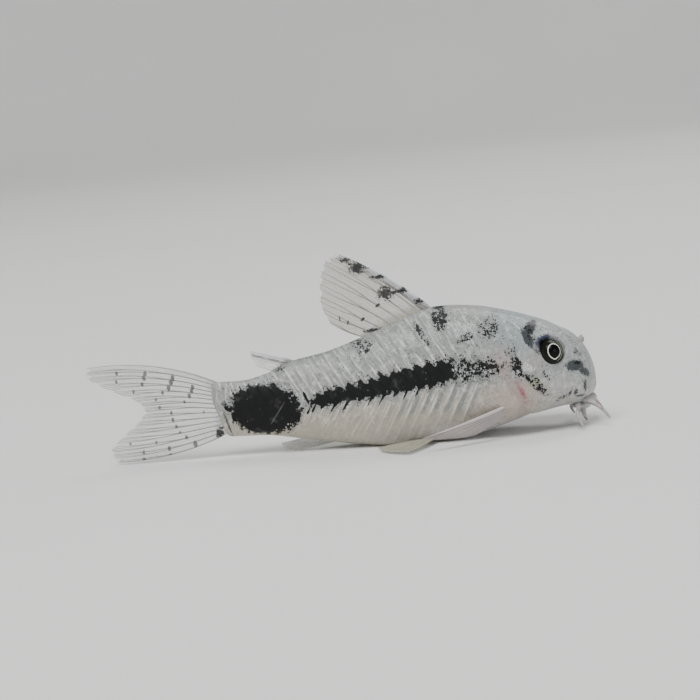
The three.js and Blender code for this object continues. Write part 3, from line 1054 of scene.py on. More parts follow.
@dataclass(frozen=True)
class SkinFinish:
    """Pale, slightly see-through skin with silvery plates and black, grey, pink and golden markings."""

    back: Triple = (0.30, 0.315, 0.30)
    flank: Triple = (0.31, 0.315, 0.305)
    low_flank: Triple = (0.46, 0.42, 0.345)
    throat: Triple = (0.50, 0.465, 0.45)
    nape: Triple = (0.30, 0.355, 0.36)
    face: Triple = (0.35, 0.37, 0.36)
    cheek: Triple = (0.45, 0.44, 0.42)
    silver: Triple = (0.82, 0.83, 0.81)
    fibre: Triple = (0.22, 0.23, 0.225)
    vein: Triple = (0.16, 0.17, 0.175)
    black: Triple = (0.003, 0.0034, 0.004)
    smoke: Triple = (0.024, 0.03, 0.036)
    flesh: Triple = (0.40, 0.30, 0.285)
    blush: Triple = (0.27, 0.07, 0.095)
    gold: Triple = (0.32, 0.35, 0.22)
    blue: Triple = (0.035, 0.04, 0.075)
    # The grey of the bar pattern under the side line, also used for the painted shade just behind each upper
    # plate's edge.
    grey_bar_and_painted_shade: Triple = (0.24, 0.245, 0.235)
    scratch: tuple[Pair, Pair] = ((-8.82, 1.95), (-7.62, 3.6))
    scratch_width: float = 0.05
    glow_reach: Triple = (1.0, 0.82, 0.7)

    def ground(self, skin: SkinReading) -> Feed:
        """The skin's colour under its markings, from the back to the throat and forwards to the face.

        Args:
            skin: what the finish reads on the skin.

        Returns:
            The colour.
        """
        wiring = skin.wiring
        x, _, z = wiring.parted(skin.place)
        level = wiring.add(skin.over, wiring.swing(skin.broad, 1.6))
        low = wiring.step(level, 0.1, -1.1)
        nape = wiring.mul(wiring.step(x, 4.5, 8.0), wiring.step(skin.over, 0.6, 2.6))
        throat = wiring.mul(wiring.step(z, 1.9, 0.5), wiring.step(x, -4.0, 3.0))
        return wiring.layered(
            self.flank,
            (low, self.low_flank),
            (wiring.step(level, 1.2, 2.6), self.back),
            (nape, self.nape),
            (throat, self.throat),
            (wiring.step(x, 7.2, 9.5), wiring.mix(low, self.face, self.cheek)),
        )

    def plate_tones(self, skin: SkinReading, fibres: Socket) -> tuple[Feed, Feed]:
        """The bright rear edges of the plates, the soft grey bar pattern between the lower ones, and a
        painted shade just behind each upper plate's edge.

        Args:
            skin: what the finish reads on the skin.
            fibres: the fine streaks that break them up.

        Returns:
            How strongly the bright lines show, and how strongly the grey bar pattern and the painted shade
            behind each upper plate show together.
        """
        wiring, along, over = skin.wiring, skin.along, skin.over
        above = wiring.math("GREATER_THAN", over, 0.0)
        below = wiring.sub(1.0, above)
        count = wiring.math("DIVIDE", wiring.sub(FORM.plates_from, along), FORM.plate_pitch)
        phase = wiring.math("FRACT", wiring.add(count, wiring.mul(below, 0.5), wiring.swing(fibres, 0.18)))
        line = wiring.mul(wiring.window(phase, (0.66, 0.86), (0.92, 0.99)), wiring.step(fibres, 0.34, 0.6))
        plated = wiring.window(along, (-9.6, -6.5), (FORM.plates_from - 0.4, FORM.plates_from + 0.6))
        upper = wiring.mul(above, wiring.window(over, (0.3, 0.9), (1.8, 2.9)))
        lower = wiring.mul(below, wiring.step(along, -2.0, 1.5), wiring.step(over, -2.4, -1.3))
        lit = wiring.mul(line, plated, wiring.add(wiring.mul(upper, 0.75), wiring.mul(lower, 0.5)))
        bar = wiring.mul(wiring.window(phase, (0.2, 0.45), (0.62, 0.85)), lower, plated)
        # Painted shade: the skin just behind each upper plate's rear edge is darkened, as if the plate before
        # it cast a shadow there.
        shade = wiring.mul(wiring.step(phase, 0.8, 0.2), above, plated, 0.22)
        return lit, wiring.most(bar, shade)

    def scratch_mask(self, skin: SkinReading) -> Feed:
        """The thin light line across the blotch on the tail stem.

        Args:
            skin: what the finish reads on the skin.

        Returns:
            How strongly it shows.
        """
        wiring = skin.wiring
        x, _, z = wiring.parted(skin.place)
        (x0, z0), (x1, z1) = self.scratch
        length = math.hypot(x1 - x0, z1 - z0)
        way = ((x1 - x0) / length, (z1 - z0) / length)
        from_x, from_z = wiring.sub(x, x0), wiring.sub(z, z0)
        along = wiring.add(wiring.mul(from_x, way[0]), wiring.mul(from_z, way[1]))
        across = wiring.gap(wiring.mul(from_x, way[1]), wiring.mul(from_z, way[0]))
        ends = wiring.window(along, (0.0, 0.3), (length - 0.5, length))
        thin = wiring.step(across, self.scratch_width, 0.4 * self.scratch_width)
        return wiring.mul(thin, ends, wiring.step(skin.fine, 0.25, 0.45))

    def marked(self, skin: SkinReading, colour: Feed, flecks: Socket) -> tuple[Feed, Feed]:
        """Lays the dark, blue and golden markings over the skin's colour.

        Args:
            skin: what the finish reads on the skin.
            colour: the colour under them.
            flecks: the silvery flecks that lie on top.

        Returns:
            The colour with them, and how strongly black shows in it.
        """
        wiring, place = skin.wiring, skin.place
        upper_body = wiring.mul(wiring.step(skin.over, -0.9, 0.6), wiring.step(skin.broad, 0.35, 0.62))
        pepper = skin.marks[Tint.PEPPER]
        clumps = wiring.add(0.82, wiring.swing(wiring.noise(place, 2.2, 3), 1.7))
        thick = wiring.math("MULTIPLY", pepper, clumps, clamp=True)
        coarse = wiring.mul(skin.dots(5.2, wiring.mul(thick, 0.7)), 0.95)
        peppered = wiring.most(skin.dots(8.0, thick), coarse)
        shred = wiring.swing(wiring.noise(place, 7.0, 5, 0.7), 2.2)
        smoked = skin.frayed(Tint.SMOKE, shred, 0.38, 0.95, (0.02, 0.3))
        edge = wiring.swing(wiring.noise(place, 3.6, 5, 0.68), 1.9)
        inked = skin.frayed(Tint.INK, edge, 0.38, 0.56, (0.0, 0.12))
        haze = wiring.mul(wiring.step(wiring.noise(place, 1.5, 2), 0.56, 0.75), inked)
        golden = skin.dots(7.0, wiring.mul(skin.marks[Tint.GOLD], 0.5))
        colour = wiring.layered(
            colour,
            (wiring.mul(skin.dots(6.5, wiring.mul(upper_body, 0.3)), 0.6), self.smoke),
            (wiring.mul(pepper, skin.torn, 0.6), self.smoke),
            (wiring.mul(smoked, 0.93), self.smoke),
            (skin.felt(Tint.BLUE, 0.25, 1.0, 1.3), self.blue),
            (peppered, self.black),
            (inked, self.black),
            (wiring.mul(haze, 0.05), self.silver),
            (wiring.mul(flecks, 0.85), self.silver),
            (wiring.mul(golden, 0.8), self.gold),
            (wiring.mul(self.scratch_mask(skin), 0.09), self.silver),
        )
        return colour, wiring.most(inked, peppered)

    def build(self, effects: Effects) -> Material:
        """Makes the skin's material.

        Args:
            effects: the shared effects.

        Returns:
            The material.
        """
        material, wiring, shader = new_material(
            "fish_skin", Coat_Roughness=0.15, Specular_IOR_Level=0.22,
            Subsurface_Weight=0.15, Subsurface_Scale=0.0005, Subsurface_Radius=self.glow_reach,
        )
        skin = SkinReading.of(wiring, effects)
        along, over = skin.along, skin.over
        streaked = wiring.joined(wiring.mul(along, 3.4), wiring.mul(over, 0.7))
        fibres = wiring.noise(streaked, 1.5, 4, 0.6)
        above_belly = wiring.step(over, -2.3, -0.9)
        body = wiring.mul(wiring.step(along, 7.0, 5.0), wiring.add(0.22, wiring.mul(above_belly, 0.78)))
        # The second value holds the grey bar pattern together with the painted shade behind each upper
        # plate's edge.
        lit, grey_bars_and_painted_shade = self.plate_tones(skin, fibres)
        veins = wiring.step(wiring.gap(wiring.noise(skin.place, 2.3, 4, 0.62), 0.5), 0.04, 0.005)
        front = wiring.add(0.3, wiring.mul(wiring.step(along, 2.0, 5.5), 0.6))
        cloudy = wiring.mul(wiring.step(skin.fine, 0.5, 0.7), wiring.add(0.14, wiring.mul(above_belly, 0.2)))
        colour = wiring.layered(
            self.ground(skin),
            (wiring.mul(wiring.step(fibres, 0.5, 0.36), body, 0.5), self.fibre),
            (wiring.mul(wiring.step(fibres, 0.52, 0.66), body, 0.5), self.silver),
            (grey_bars_and_painted_shade, self.grey_bar_and_painted_shade),
            (wiring.mul(veins, front, skin.torn), self.vein),
            (cloudy, self.silver),
            (wiring.mul(skin.felt(Tint.FLESH, 0.0, 1.0, 0.9), 0.8), self.flesh),
            (lit, self.silver),
            (wiring.mul(skin.felt(Tint.BLUSH, 0.2, 1.1, 1.6), 0.85), self.blush),
            (wiring.mul(skin.felt(Tint.GLEAM, 0.5, 1.0, 0.5), 0.45), self.silver),
        )
        flecks = skin.dots(7.0, wiring.mul(skin.marks[Tint.GLEAM], 0.42))
        colour, dark = self.marked(skin, colour, flecks)
        wiring.feed(shader.inputs["Base Color"], colour)

        wet = wiring.group(effects.grain, Place=skin.place, Rough=0.42)
        shiny = wiring.mul(wiring.most(lit, flecks), 0.16)
        wiring.feed(shader.inputs["Roughness"], wiring.math("SUBTRACT", wet["Roughness"], shiny, clamp=True))
        wiring.feed(shader.inputs["Coat Weight"], wiring.mul(wiring.sub(1.0, wiring.mul(dark, 0.9)), 0.24))
        bumps = wiring.add(wiring.sub(lit, grey_bars_and_painted_shade), wiring.mul(fibres, body))
        relief = wiring.height(bumps, 0.03, wiring.height(wet["Height"], 0.07))
        wiring.feed(shader.inputs["Normal"], relief)
        return material


@dataclass(frozen=True)
class EyeFinish:
    """A black round pupil in a thin bright ring, with dark olive round it, under a clear wet front."""

    pupil: Triple = (0.003, 0.003, 0.003)
    ring: Triple = (0.86, 0.84, 0.74)
    olive: Triple = (0.007, 0.008, 0.005)
    olive_grain: Triple = (0.024, 0.028, 0.014)
    arc: Triple = (0.26, 0.29, 0.18)
    back: Triple = (0.05, 0.05, 0.06)
    pupil_edge: Pair = (0.375, 0.395)
    ring_edge: Pair = (0.423, 0.443)
    arc_edges: tuple[Pair, Pair] = ((0.53, 0.56), (0.58, 0.62))
    arc_front: Pair = (9.55, 9.95)
    pupil_narrowness: float = 0.87
    lower_point: float = 0.07

    def build(self, effects: Effects) -> Material:
        """Makes the eye's material.

        Args:
            effects: the shared effects.

        Returns:
            The material.
        """
        material, wiring, shader = new_material(
            "fish_eye", Coat_Weight=0.07, Coat_Roughness=0.03, Specular_IOR_Level=0.08)
        right, up = wiring.surface_map()
        place = wiring.place()
        fine = wiring.group(effects.mottle, Place=place)["Fine"]
        point = wiring.mul(wiring.step(up, -0.2, -0.55), wiring.step(wiring.gap(right, 0.0), 0.2, 0.0))
        tall = wiring.mul(up, wiring.sub(self.pupil_narrowness, wiring.mul(point, self.lower_point)))
        square = wiring.add(wiring.mul(right, right), wiring.mul(tall, tall))
        apart = wiring.add(wiring.math("SQRT", square), wiring.swing(fine, 0.03))
        inner = wiring.step(apart, *self.pupil_edge)
        ring = wiring.window(apart, self.pupil_edge, self.ring_edge)
        forward = wiring.step(wiring.parted(place)[0], *self.arc_front)
        arc = wiring.mul(wiring.window(apart, *self.arc_edges), forward, 0.8)
        grains = wiring.group(effects.specks, Place=place, Scale=14, Density=0.5)["Mask"]
        colour = wiring.layered(
            self.pupil,
            (inner, wiring.mix(wiring.mul(grains, 0.35), self.olive, self.olive_grain)),
            (arc, self.arc),
            (ring, self.ring),
            (wiring.step(up, BACK_OF_EYE - 2, BACK_OF_EYE - 1.5), self.back),
        )
        wiring.feed(shader.inputs["Base Color"], colour)
        wet = wiring.group(effects.grain, Place=place, Rough=0.22)
        wiring.feed(shader.inputs["Roughness"], wet["Roughness"])
        wiring.feed(shader.inputs["Normal"], wiring.height(ring, 0.015))
        return material


@dataclass(frozen=True)
class FinFinish:
    """A fin's bony rays and the clear skin between them, with any dots and blots that it has.

    A row of dots is given by its share of the way to the margin, a dot by its x, z and radius and a blot by
    its x, z and half sizes, in millimetres.
    """

    name: str
    bone: Triple
    skin: Triple
    clearness: float
    dot_rows: tuple[float, ...] = ()
    dots: tuple[Triple, ...] = ()
    blots: tuple[tuple[float, float, float, float], ...] = ()
    dot_lean: float = 1.5
    white_spine: float = 0.0
    spine: Triple = (0.66, 0.70, 0.74)
    root: Triple = (0.35, 0.35, 0.34)
    joint: Triple = (0.12, 0.115, 0.1)
    joint_count: float = 34.0
    fibre: Triple = (0.74, 0.75, 0.73)
    ink: Triple = (0.008, 0.008, 0.009)

    def rows(self, wiring: Wiring, ray: Socket, along: Socket, torn: Feed) -> Feed:
        """The rows of dots, one dot on every ray that chance picks.

        Args:
            wiring: the material's wiring.
            ray: the number of the ray there, with its fraction between rays.
            along: the share from the base to the margin.
            torn: the swing that makes edges ragged.

        Returns:
            How dark it is there.
        """
        own = wiring.math("ROUND", ray)
        total: Feed = 0.0
        for number, row in enumerate(self.dot_rows):
            chance = wiring.node("TexWhiteNoise", noise_dimensions="2D")
            wiring.feed(chance.inputs["Vector"], wiring.joined(own, float(number)))
            shift, held, size = wiring.parted(chance.outputs["Color"])
            middle = wiring.add(row, wiring.swing(shift, 0.05), wiring.mul(torn, 0.008))
            half = wiring.add(0.008, wiring.mul(size, 0.011))
            near = wiring.step(wiring.gap(along, middle), wiring.mul(half, 1.6), wiring.mul(half, 0.6))
            total = wiring.most(total, wiring.mul(near, wiring.step(held, 0.5, 0.6)))
        off_ray = wiring.add(wiring.gap(ray, own), wiring.mul(torn, 0.08))
        return wiring.mul(total, wiring.step(off_ray, 0.36, 0.16))

    def dark(self, wiring: Wiring, effects: Effects, place: Socket, ray: Socket, along: Socket) -> Feed:
        """Where the dots and blots lie.

        Args:
            wiring: the material's wiring.
            effects: the shared effects.
            place: the place on the fin.
            ray: the number of the ray there, with its fraction between rays.
            along: the share from the base to the margin.

        Returns:
            How dark it is there.
        """
        x, _, z = wiring.parted(place)
        torn = wiring.swing(wiring.noise(place, 6.0, 4, 0.7), 2.6)
        total = self.rows(wiring, ray, along, torn)
        flat = wiring.joined(wiring.mul(x, self.dot_lean), 0.0, z)
        for at_x, at_z, size in self.dots:
            reach = wiring.node("VectorMath", operation="DISTANCE")
            wiring.feed(reach.inputs[0], flat)
            reach.inputs[1].default_value = (at_x * self.dot_lean, 0, at_z)
            apart = wiring.add(reach.outputs["Value"], wiring.mul(torn, 0.13))
            dot = wiring.step(apart, size * 1.45, size * 0.7)
            total = wiring.most(total, wiring.mul(dot, wiring.add(0.8, wiring.mul(torn, 0.3))))
        for at_x, at_z, wide, high in self.blots:
            a = wiring.math("DIVIDE", wiring.sub(x, at_x), wide)
            b = wiring.math("DIVIDE", wiring.sub(z, at_z), high)
            apart = wiring.math("SQRT", wiring.add(wiring.mul(a, a), wiring.mul(b, b)))
            ragged = wiring.step(wiring.add(apart, torn), 1.25, 0.75)
            inside = wiring.mul(ragged, wiring.step(apart, 2.1, 1.3))
            grains = wiring.group(effects.specks, Place=place, Scale=8.0, Density=0.8)["Mask"]
            core = wiring.most(grains, wiring.step(apart, 0.75, 0.3))
            total = wiring.most(total, wiring.mul(inside, wiring.add(0.2, core)))
        return total

    def build(self, effects: Effects) -> tuple[Material, Material]:
        """Makes the materials of the rays and of the web."""
        return self.bones(effects), self.web(effects)

    def bones(self, effects: Effects) -> Material:
        """The jointed rays.

        Args:
            effects: the shared effects.

        Returns:
            The material.
        """
        material, wiring, shader = new_material(
            f"{self.name}_bone", Coat_Weight=0.3, Coat_Roughness=0.1,
            Subsurface_Weight=0.1, Subsurface_Scale=0.0003,
        )
        place = wiring.place()
        ray, along = wiring.surface_map()
        fine = wiring.group(effects.mottle, Place=place)["Fine"]
        phase = wiring.math("FRACT", wiring.add(wiring.mul(along, self.joint_count), wiring.mul(fine, 0.5)))
        joint = wiring.mul(wiring.step(phase, 0.3, 0.12), wiring.step(along, 0.12, 0.3))
        dark = self.dark(wiring, effects, place, ray, along)
        colour = wiring.layered(
            self.bone,
            (fine, tuple(0.72 * part for part in self.bone)),
            (wiring.mul(joint, 0.35), self.joint),
            (wiring.mul(wiring.step(ray, 0.6, 0.1), self.white_spine), self.spine),
            (wiring.mul(wiring.step(along, 0.26, 0.04), 0.85), self.root),
            (wiring.math("MULTIPLY", dark, 0.95, clamp=True), self.ink),
        )
        wiring.feed(shader.inputs["Base Color"], colour)
        firm = wiring.math("ADD", wiring.step(along, 1.0, 0.55), wiring.most(dark, 0.55), clamp=True)
        wiring.feed(shader.inputs["Alpha"], firm)
        wet = wiring.group(effects.grain, Place=place, Rough=0.33)
        wiring.feed(shader.inputs["Roughness"], wet["Roughness"])
        wiring.feed(shader.inputs["Normal"], wiring.height(wiring.sub(wet["Height"], joint), 0.015))
        return material

    def web(self, effects: Effects) -> Material:
        """The thin clear skin, finely striped along its rays.

        Args:
            effects: the shared effects.

        Returns:
            The material.
        """
        material, wiring, shader = new_material(f"{self.name}_web", Coat_Weight=0.4, Coat_Roughness=0.08)
        place = wiring.place()
        ray, along = wiring.surface_map()
        broad = wiring.group(effects.mottle, Place=place)["Broad"]
        stripes = wiring.noise(wiring.joined(wiring.mul(ray, 5.0), wiring.mul(along, 1.4)), 1.6, 3, 0.6)
        fibres = wiring.step(stripes, 0.42, 0.66)
        dark = self.dark(wiring, effects, place, ray, along)
        specks = wiring.group(effects.specks, Place=place, Scale=6.0, Density=0.1)["Mask"]
        behind_spine = wiring.step(wiring.gap(ray, 0.56), 0.3, 0.08)
        streak = wiring.mul(behind_spine, wiring.step(stripes, 0.35, 0.5), 0.85 * self.white_spine)
        inked = wiring.math("MAXIMUM", dark, wiring.most(streak, wiring.mul(specks, 0.5)), clamp=True)
        colour = wiring.layered(
            self.skin,
            (wiring.mul(broad, 0.5), tuple(0.7 * part for part in self.skin)),
            (wiring.mul(fibres, 0.4), self.fibre),
            (inked, self.ink),
        )
        wiring.feed(shader.inputs["Base Color"], colour)
        near_base = wiring.mul(wiring.step(along, 0.16, 0.0), 0.55)
        cover = wiring.add(1 - self.clearness, wiring.mul(fibres, 0.16), near_base)
        wiring.feed(shader.inputs["Alpha"], wiring.math("MAXIMUM", cover, wiring.mul(inked, 0.9), clamp=True))
        wet = wiring.group(effects.grain, Place=place, Rough=0.3)
        wiring.feed(shader.inputs["Roughness"], wet["Roughness"])
        wiring.feed(shader.inputs["Normal"], wiring.height(wiring.add(stripes, wet["Height"]), 0.02))
        return material


@dataclass(frozen=True)
class FeelerFinish:
    """The soft pale skin of lips, feelers and nostrils, with smoky smears."""

    pale: Triple = (0.37, 0.38, 0.37)
    pink: Triple = (0.40, 0.36, 0.345)
    smear: Triple = (0.13, 0.14, 0.15)
    dot: Triple = (0.03, 0.03, 0.035)
    ring_pace: float = 130.0

    def build(self, effects: Effects) -> Material:
        """Makes the feelers' material.

        Args:
            effects: the shared effects.

        Returns:
            The material.
        """
        material, wiring, shader = new_material(
            "feeler_skin", Coat_Weight=0.3, Coat_Roughness=0.15,
            Subsurface_Weight=0.2, Subsurface_Scale=0.0005,
        )
        place = wiring.place()
        along, _ = wiring.surface_map()
        dots = wiring.group(effects.specks, Place=place, Scale=8.0, Density=0.14)["Mask"]
        colour = wiring.layered(
            self.pale,
            (wiring.group(effects.mottle, Place=place)["Broad"], self.pink),
            (wiring.mul(wiring.step(wiring.noise(place, 2.4, 3), 0.5, 0.68), 0.75), self.smear),
            (wiring.mul(dots, 0.7), self.dot),
        )
        wiring.feed(shader.inputs["Base Color"], colour)
        rings = wiring.math("SINE", wiring.mul(along, self.ring_pace))
        wet = wiring.group(effects.grain, Place=place, Rough=0.4)
        wiring.feed(shader.inputs["Roughness"], wet["Roughness"])
        bumps = wiring.add(wet["Height"], wiring.mul(rings, 0.12))
        wiring.feed(shader.inputs["Normal"], wiring.height(bumps, 0.03))
        return material


@dataclass
class Skin:
    """The one skin of head, trunk and tail stem, with its plates, gill covers and eye rims."""

    cells: Cells = (440, 176)
    nose_cells_from: float = 0.89
    merge_reach: float = 0.002
    plate_lift: float = 0.05
    gill_lift: float = 0.13
    slit_depth: float = 0.09
    socket_depth: float = 0.55
    rim_lift: float = 0.07
    face_lift: float = 0.06
    eye: Triple = (9.42, 1.75, 5.2)
    eye_axis: Triple = (0.16, 1.0, 0.2)
    eye_rim: float = 0.98
    tail_round: float = 0.45
    gill_edge: Graph = field(default_factory=lambda: Graph(
        (0.6, 8.3), (1.4, 7.75), (2.2, 7.15), (3.6, 6.8), (5.0, 7.1), (6.0, 7.7)))

    def along(self, u: Array) -> Array:
        """Spreads the grid along the side line, closest together round the nose.

        Args:
            u: shares of the grid from the tail.

        Returns:
            Places along the side line.
        """
        body_from = FORM.stem_end - self.tail_round
        body = body_from + (FORM.nose_round_from - body_from) * u / self.nose_cells_from
        turn = np.clip((u - self.nose_cells_from) / (1 - self.nose_cells_from), 0, 1) * math.pi / 2
        nose = FORM.nose_round_from + (FORM.snout - FORM.nose_round_from) * np.sin(turn)
        return np.where(u < self.nose_cells_from, body, nose)

    def smooth_points(self, u: Array, v: Array) -> tuple[Array, Array, Array]:
        """The skin before its relief.

        Args:
            u: shares along the body from the tail.
            v: shares round the body from the ridge of the back.

        Returns:
            The points, the places along the side line and the heights over it.
        """
        s = self.along(u)
        points, off = FORM.skin(s, 2 * math.pi * v)
        past = np.clip((FORM.stem_end - s) / self.tail_round, 0, 1)
        points[..., 1] *= np.sqrt(1 - past ** 2)
        side = FORM.levels(s)[1]
        points[..., 2] = side + (points[..., 2] - side) * (1 - 0.12 * past ** 3)
        drop = np.clip((side - points[..., 2]) / 1.6, -0.3, 1)
        points[..., 0] += 0.5 * drop * smooth_step(-10.8, -12.0, s)
        return points, s, off

    def counts(self, s: Array) -> tuple[Array, Array]:
        """How many upper and lower plates lie before a place. The fraction is its share of its own plate."""
        count = (FORM.plates_from - s) / FORM.plate_pitch
        return count, count + 0.5

    def plates(self, s: Array, off: Array, v: Array) -> Array:
        """The lift of the bony plates: each rises to its rear edge and drops to the next.

        Args:
            s: places along the side line.
            off: the heights over it.
            v: shares round the body.

        Returns:
            How far each place rises, in millimetres.
        """
        degrees = 360 * np.minimum(v, 1 - v)
        upper = smooth_step(4, 14, degrees) * smooth_step(89, 84, degrees)
        lower = smooth_step(91, 96, degrees) * smooth_step(156, 146, degrees)
        phase = np.where(off < 0, *reversed(self.counts(s))) % 1.0
        rise = phase ** 1.4 * smooth_step(1.0, 0.84, phase)
        span = smooth_step(FORM.plates_from + 0.3, FORM.plates_from - 0.6, s)
        span = span * smooth_step(FORM.stem_end - 0.1, FORM.stem_end + 0.7, s)
        return self.plate_lift * rise * (upper + lower) * span

    def gills(self, points: Array) -> Array:
        """The lift of the gill covers, with the slit behind them.

        Args:
            points: places on the skin.

        Returns:
            How far each place rises, in millimetres.
        """
        ahead = points[..., 0] - self.gill_edge(points[..., 2])
        tall = smooth_step(0.9, 1.6, points[..., 2]) * smooth_step(6.0, 4.9, points[..., 2])
        cover = smooth_step(-0.05, 0.12, ahead) * smooth_step(2.6, 0.3, ahead)
        return (self.gill_lift * cover - self.slit_depth * bump(ahead, -0.16, 0.22)) * tall

    def eye_rims(self, points: Array) -> Array:
        """The hollow under each eye and the soft rim round it.

        Args:
            points: places on the skin.

        Returns:
            How far each place rises, in millimetres.
        """
        axis = unit(np.array(self.eye_axis))
        folded = points * [1, 0, 1] + np.abs(points) * [0, 1, 0]
        apart = folded - np.array(self.eye)
        deep = apart @ axis
        radial = np.linalg.norm(apart - deep[..., None] * axis, axis=-1)
        hollow = self.socket_depth * smooth_step(0.9, 0.66, radial)
        rim = self.rim_lift * bump(radial, self.eye_rim, 0.3)
        return smooth_step(-1.2, -0.4, deep) * (rim - hollow)

    def face(self, points: Array) -> Array:
        """The mouth's corner, the cheek, the skull's ridge and the swelling at the pectoral fin's root.

        Args:
            points: places on the skin.

        Returns:
            How far each place rises, in millimetres.
        """
        x, y, z = points[..., 0], np.abs(points[..., 1]), points[..., 2]
        mouth = bump(z - (1.95 + 0.28 * (x - 12.0)), 0, 0.16)
        mouth = mouth * smooth_step(10.9, 11.3, x) * smooth_step(12.3, 12.1, x)
        cheek = bump(x, 9.0, 1.6) * bump(z, 3.1, 1.5)
        snout_dip = bump(x, 11.5, 0.8) * bump(z, 4.3, 1.1)
        crest = smooth_step(0.5, 0.0, y) * smooth_step(2.4, 3.4, x) * smooth_step(8.6, 6.8, x)
        fin_root = 0.28 * bump(x, 6.7, 1.1) * bump(z, 2.0, 0.8)
        return fin_root + self.face_lift * (cheek - mouth) + 0.05 * (crest - snout_dip)

    def shape(self, u: Array, v: Array) -> tuple[Array, Array]:
        """The finished skin, with its relief raised at right angles to it.

        Args:
            u: shares along the body from the tail.
            v: shares round the body from the ridge of the back.

        Returns:
            The points, and for the map the place along the side line and the height over it.
        """
        points, s, off = self.smooth_points(u, v)
        step = 2e-4
        ahead, behind = (self.smooth_points(np.clip(u + way, 0, 1), v)[0] for way in (step, -step))
        further, nearer = (self.smooth_points(u, v + way)[0] for way in (step, -step))
        normal = unit(np.cross(further - nearer, ahead - behind))
        middle = np.stack([0 * s, 0 * s, FORM.levels(s)[1]], axis=-1)
        outwards = np.sum(normal * (points * [0, 1, 1] - middle), axis=-1, keepdims=True)
        normal = np.where(outwards < 0, -normal, normal)
        ends = smooth_step(0.0, 0.03, u) * smooth_step(1.0, 0.985, u)
        lift = self.plates(s, off, v) + self.gills(points) + self.eye_rims(points) + self.face(points)
        raised = points + normal * (lift * ends)[:, None]
        return FORM.swung(raised), np.stack([s, off], axis=-1)

    def paint(self, piece: Piece, s: Array) -> None:
        """Stores the markings on the skin as fields.

        Args:
            piece: the skin, before its seams are closed.
            s: each vertex's place along the side line.
        """
        points = points_of(piece)
        points[:, 1] -= FORM.sway(points[:, 0])
        counts = self.counts(s)
        band, blotch = SideBand(), StemBlotch()
        in_band, in_blotch = band.inside(points, counts), blotch.inside(points, counts)
        broken = smooth_step(band.solid_to - 0.3, band.solid_to + 1.2, points[:, 0])
        shown = [(mark.tint, mark.strength_at(points)) for mark in MARKS]
        shown += [
            (Tint.INK, smooth_step(-0.3, 0.3, in_band) * (1 - broken)),
            (Tint.INK, smooth_step(-0.35, 0.35, in_blotch)),
            (Tint.PEPPER, 0.6 * bump(in_band, -0.05, 0.4)),
            (Tint.PEPPER, 0.6 * bump(in_blotch, -0.05, 0.35)),
            (Tint.PEPPER, smooth_step(-0.35, 0.15, in_band) * broken),
            (Tint.GLEAM, 0.5 * smooth_step(-0.1, 0.3, in_band) * broken),
        ]
        for tint in Tint:
            strengths = [strength for own, strength in shown if own is tint]
            write_field(piece, tint.value, np.maximum.reduce([np.zeros(len(points)), *strengths]))

    def build(self, finish: Material) -> Piece:
        """Makes the skin and hides the solids that it stands for.

        Args:
            finish: what it is made of.

        Returns:
            The skin.
        """
        piece = shaped_grid("skin", self.cells, self.shape)
        self.paint(piece, self.along(np.tile(np.linspace(0, 1, self.cells[0] + 1), self.cells[1] + 1)))
        close_up(piece, self.merge_reach)
        dress(piece, finish)
        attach(piece, "root")
        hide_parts("head", "trunk", "tail_stem")
        return piece


@dataclass
class Eye:
    """One eye: a ball that bulges a little at its front, where the finish draws ring and pupil."""

    side: Side
    radius: float = 0.86
    bulge: float = 0.05
    gaze: Triple = (0.3, 1.0, 0.26)
    cells: Cells = (48, 64)

    def build(self, finish: Material) -> None:
        """Makes the eye in its socket and hides the solid that it stands for.

        Args:
            finish: what it is made of.
        """
        low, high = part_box(f"eye_{self.side.word}")
        centre = np.array([(a + b) / 2 / MM for a, b in zip(low, high)])
        axis = unit(np.array(self.gaze) * self.side.mirror)
        right = unit(np.cross([0, 0, 1], axis))
        up = np.cross(axis, right)

        def ball(u: Array, v: Array) -> tuple[Array, Array]:
            """The ball's points from front to back, and their places across and up as the eye faces."""
            polar, turn = math.pi * u, 2 * math.pi * v
            size = self.radius * (1 + self.bulge * smooth_step(1.0, 0.0, polar))
            across, over = (size * np.sin(polar) * part for part in (np.cos(turn), np.sin(turn)))
            ahead = size * np.cos(polar)
            points = centre + np.outer(ahead, axis) + np.outer(across, right) + np.outer(over, up)
            return points, np.stack([across, over + BACK_OF_EYE * (polar > math.pi / 2)], axis=-1)

        piece = shaped_grid(f"eyeball_{self.side.word}", self.cells, ball)
        close_up(piece)
        dress(piece, finish)
        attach(piece, "root")
        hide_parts(f"eye_{self.side.word}")


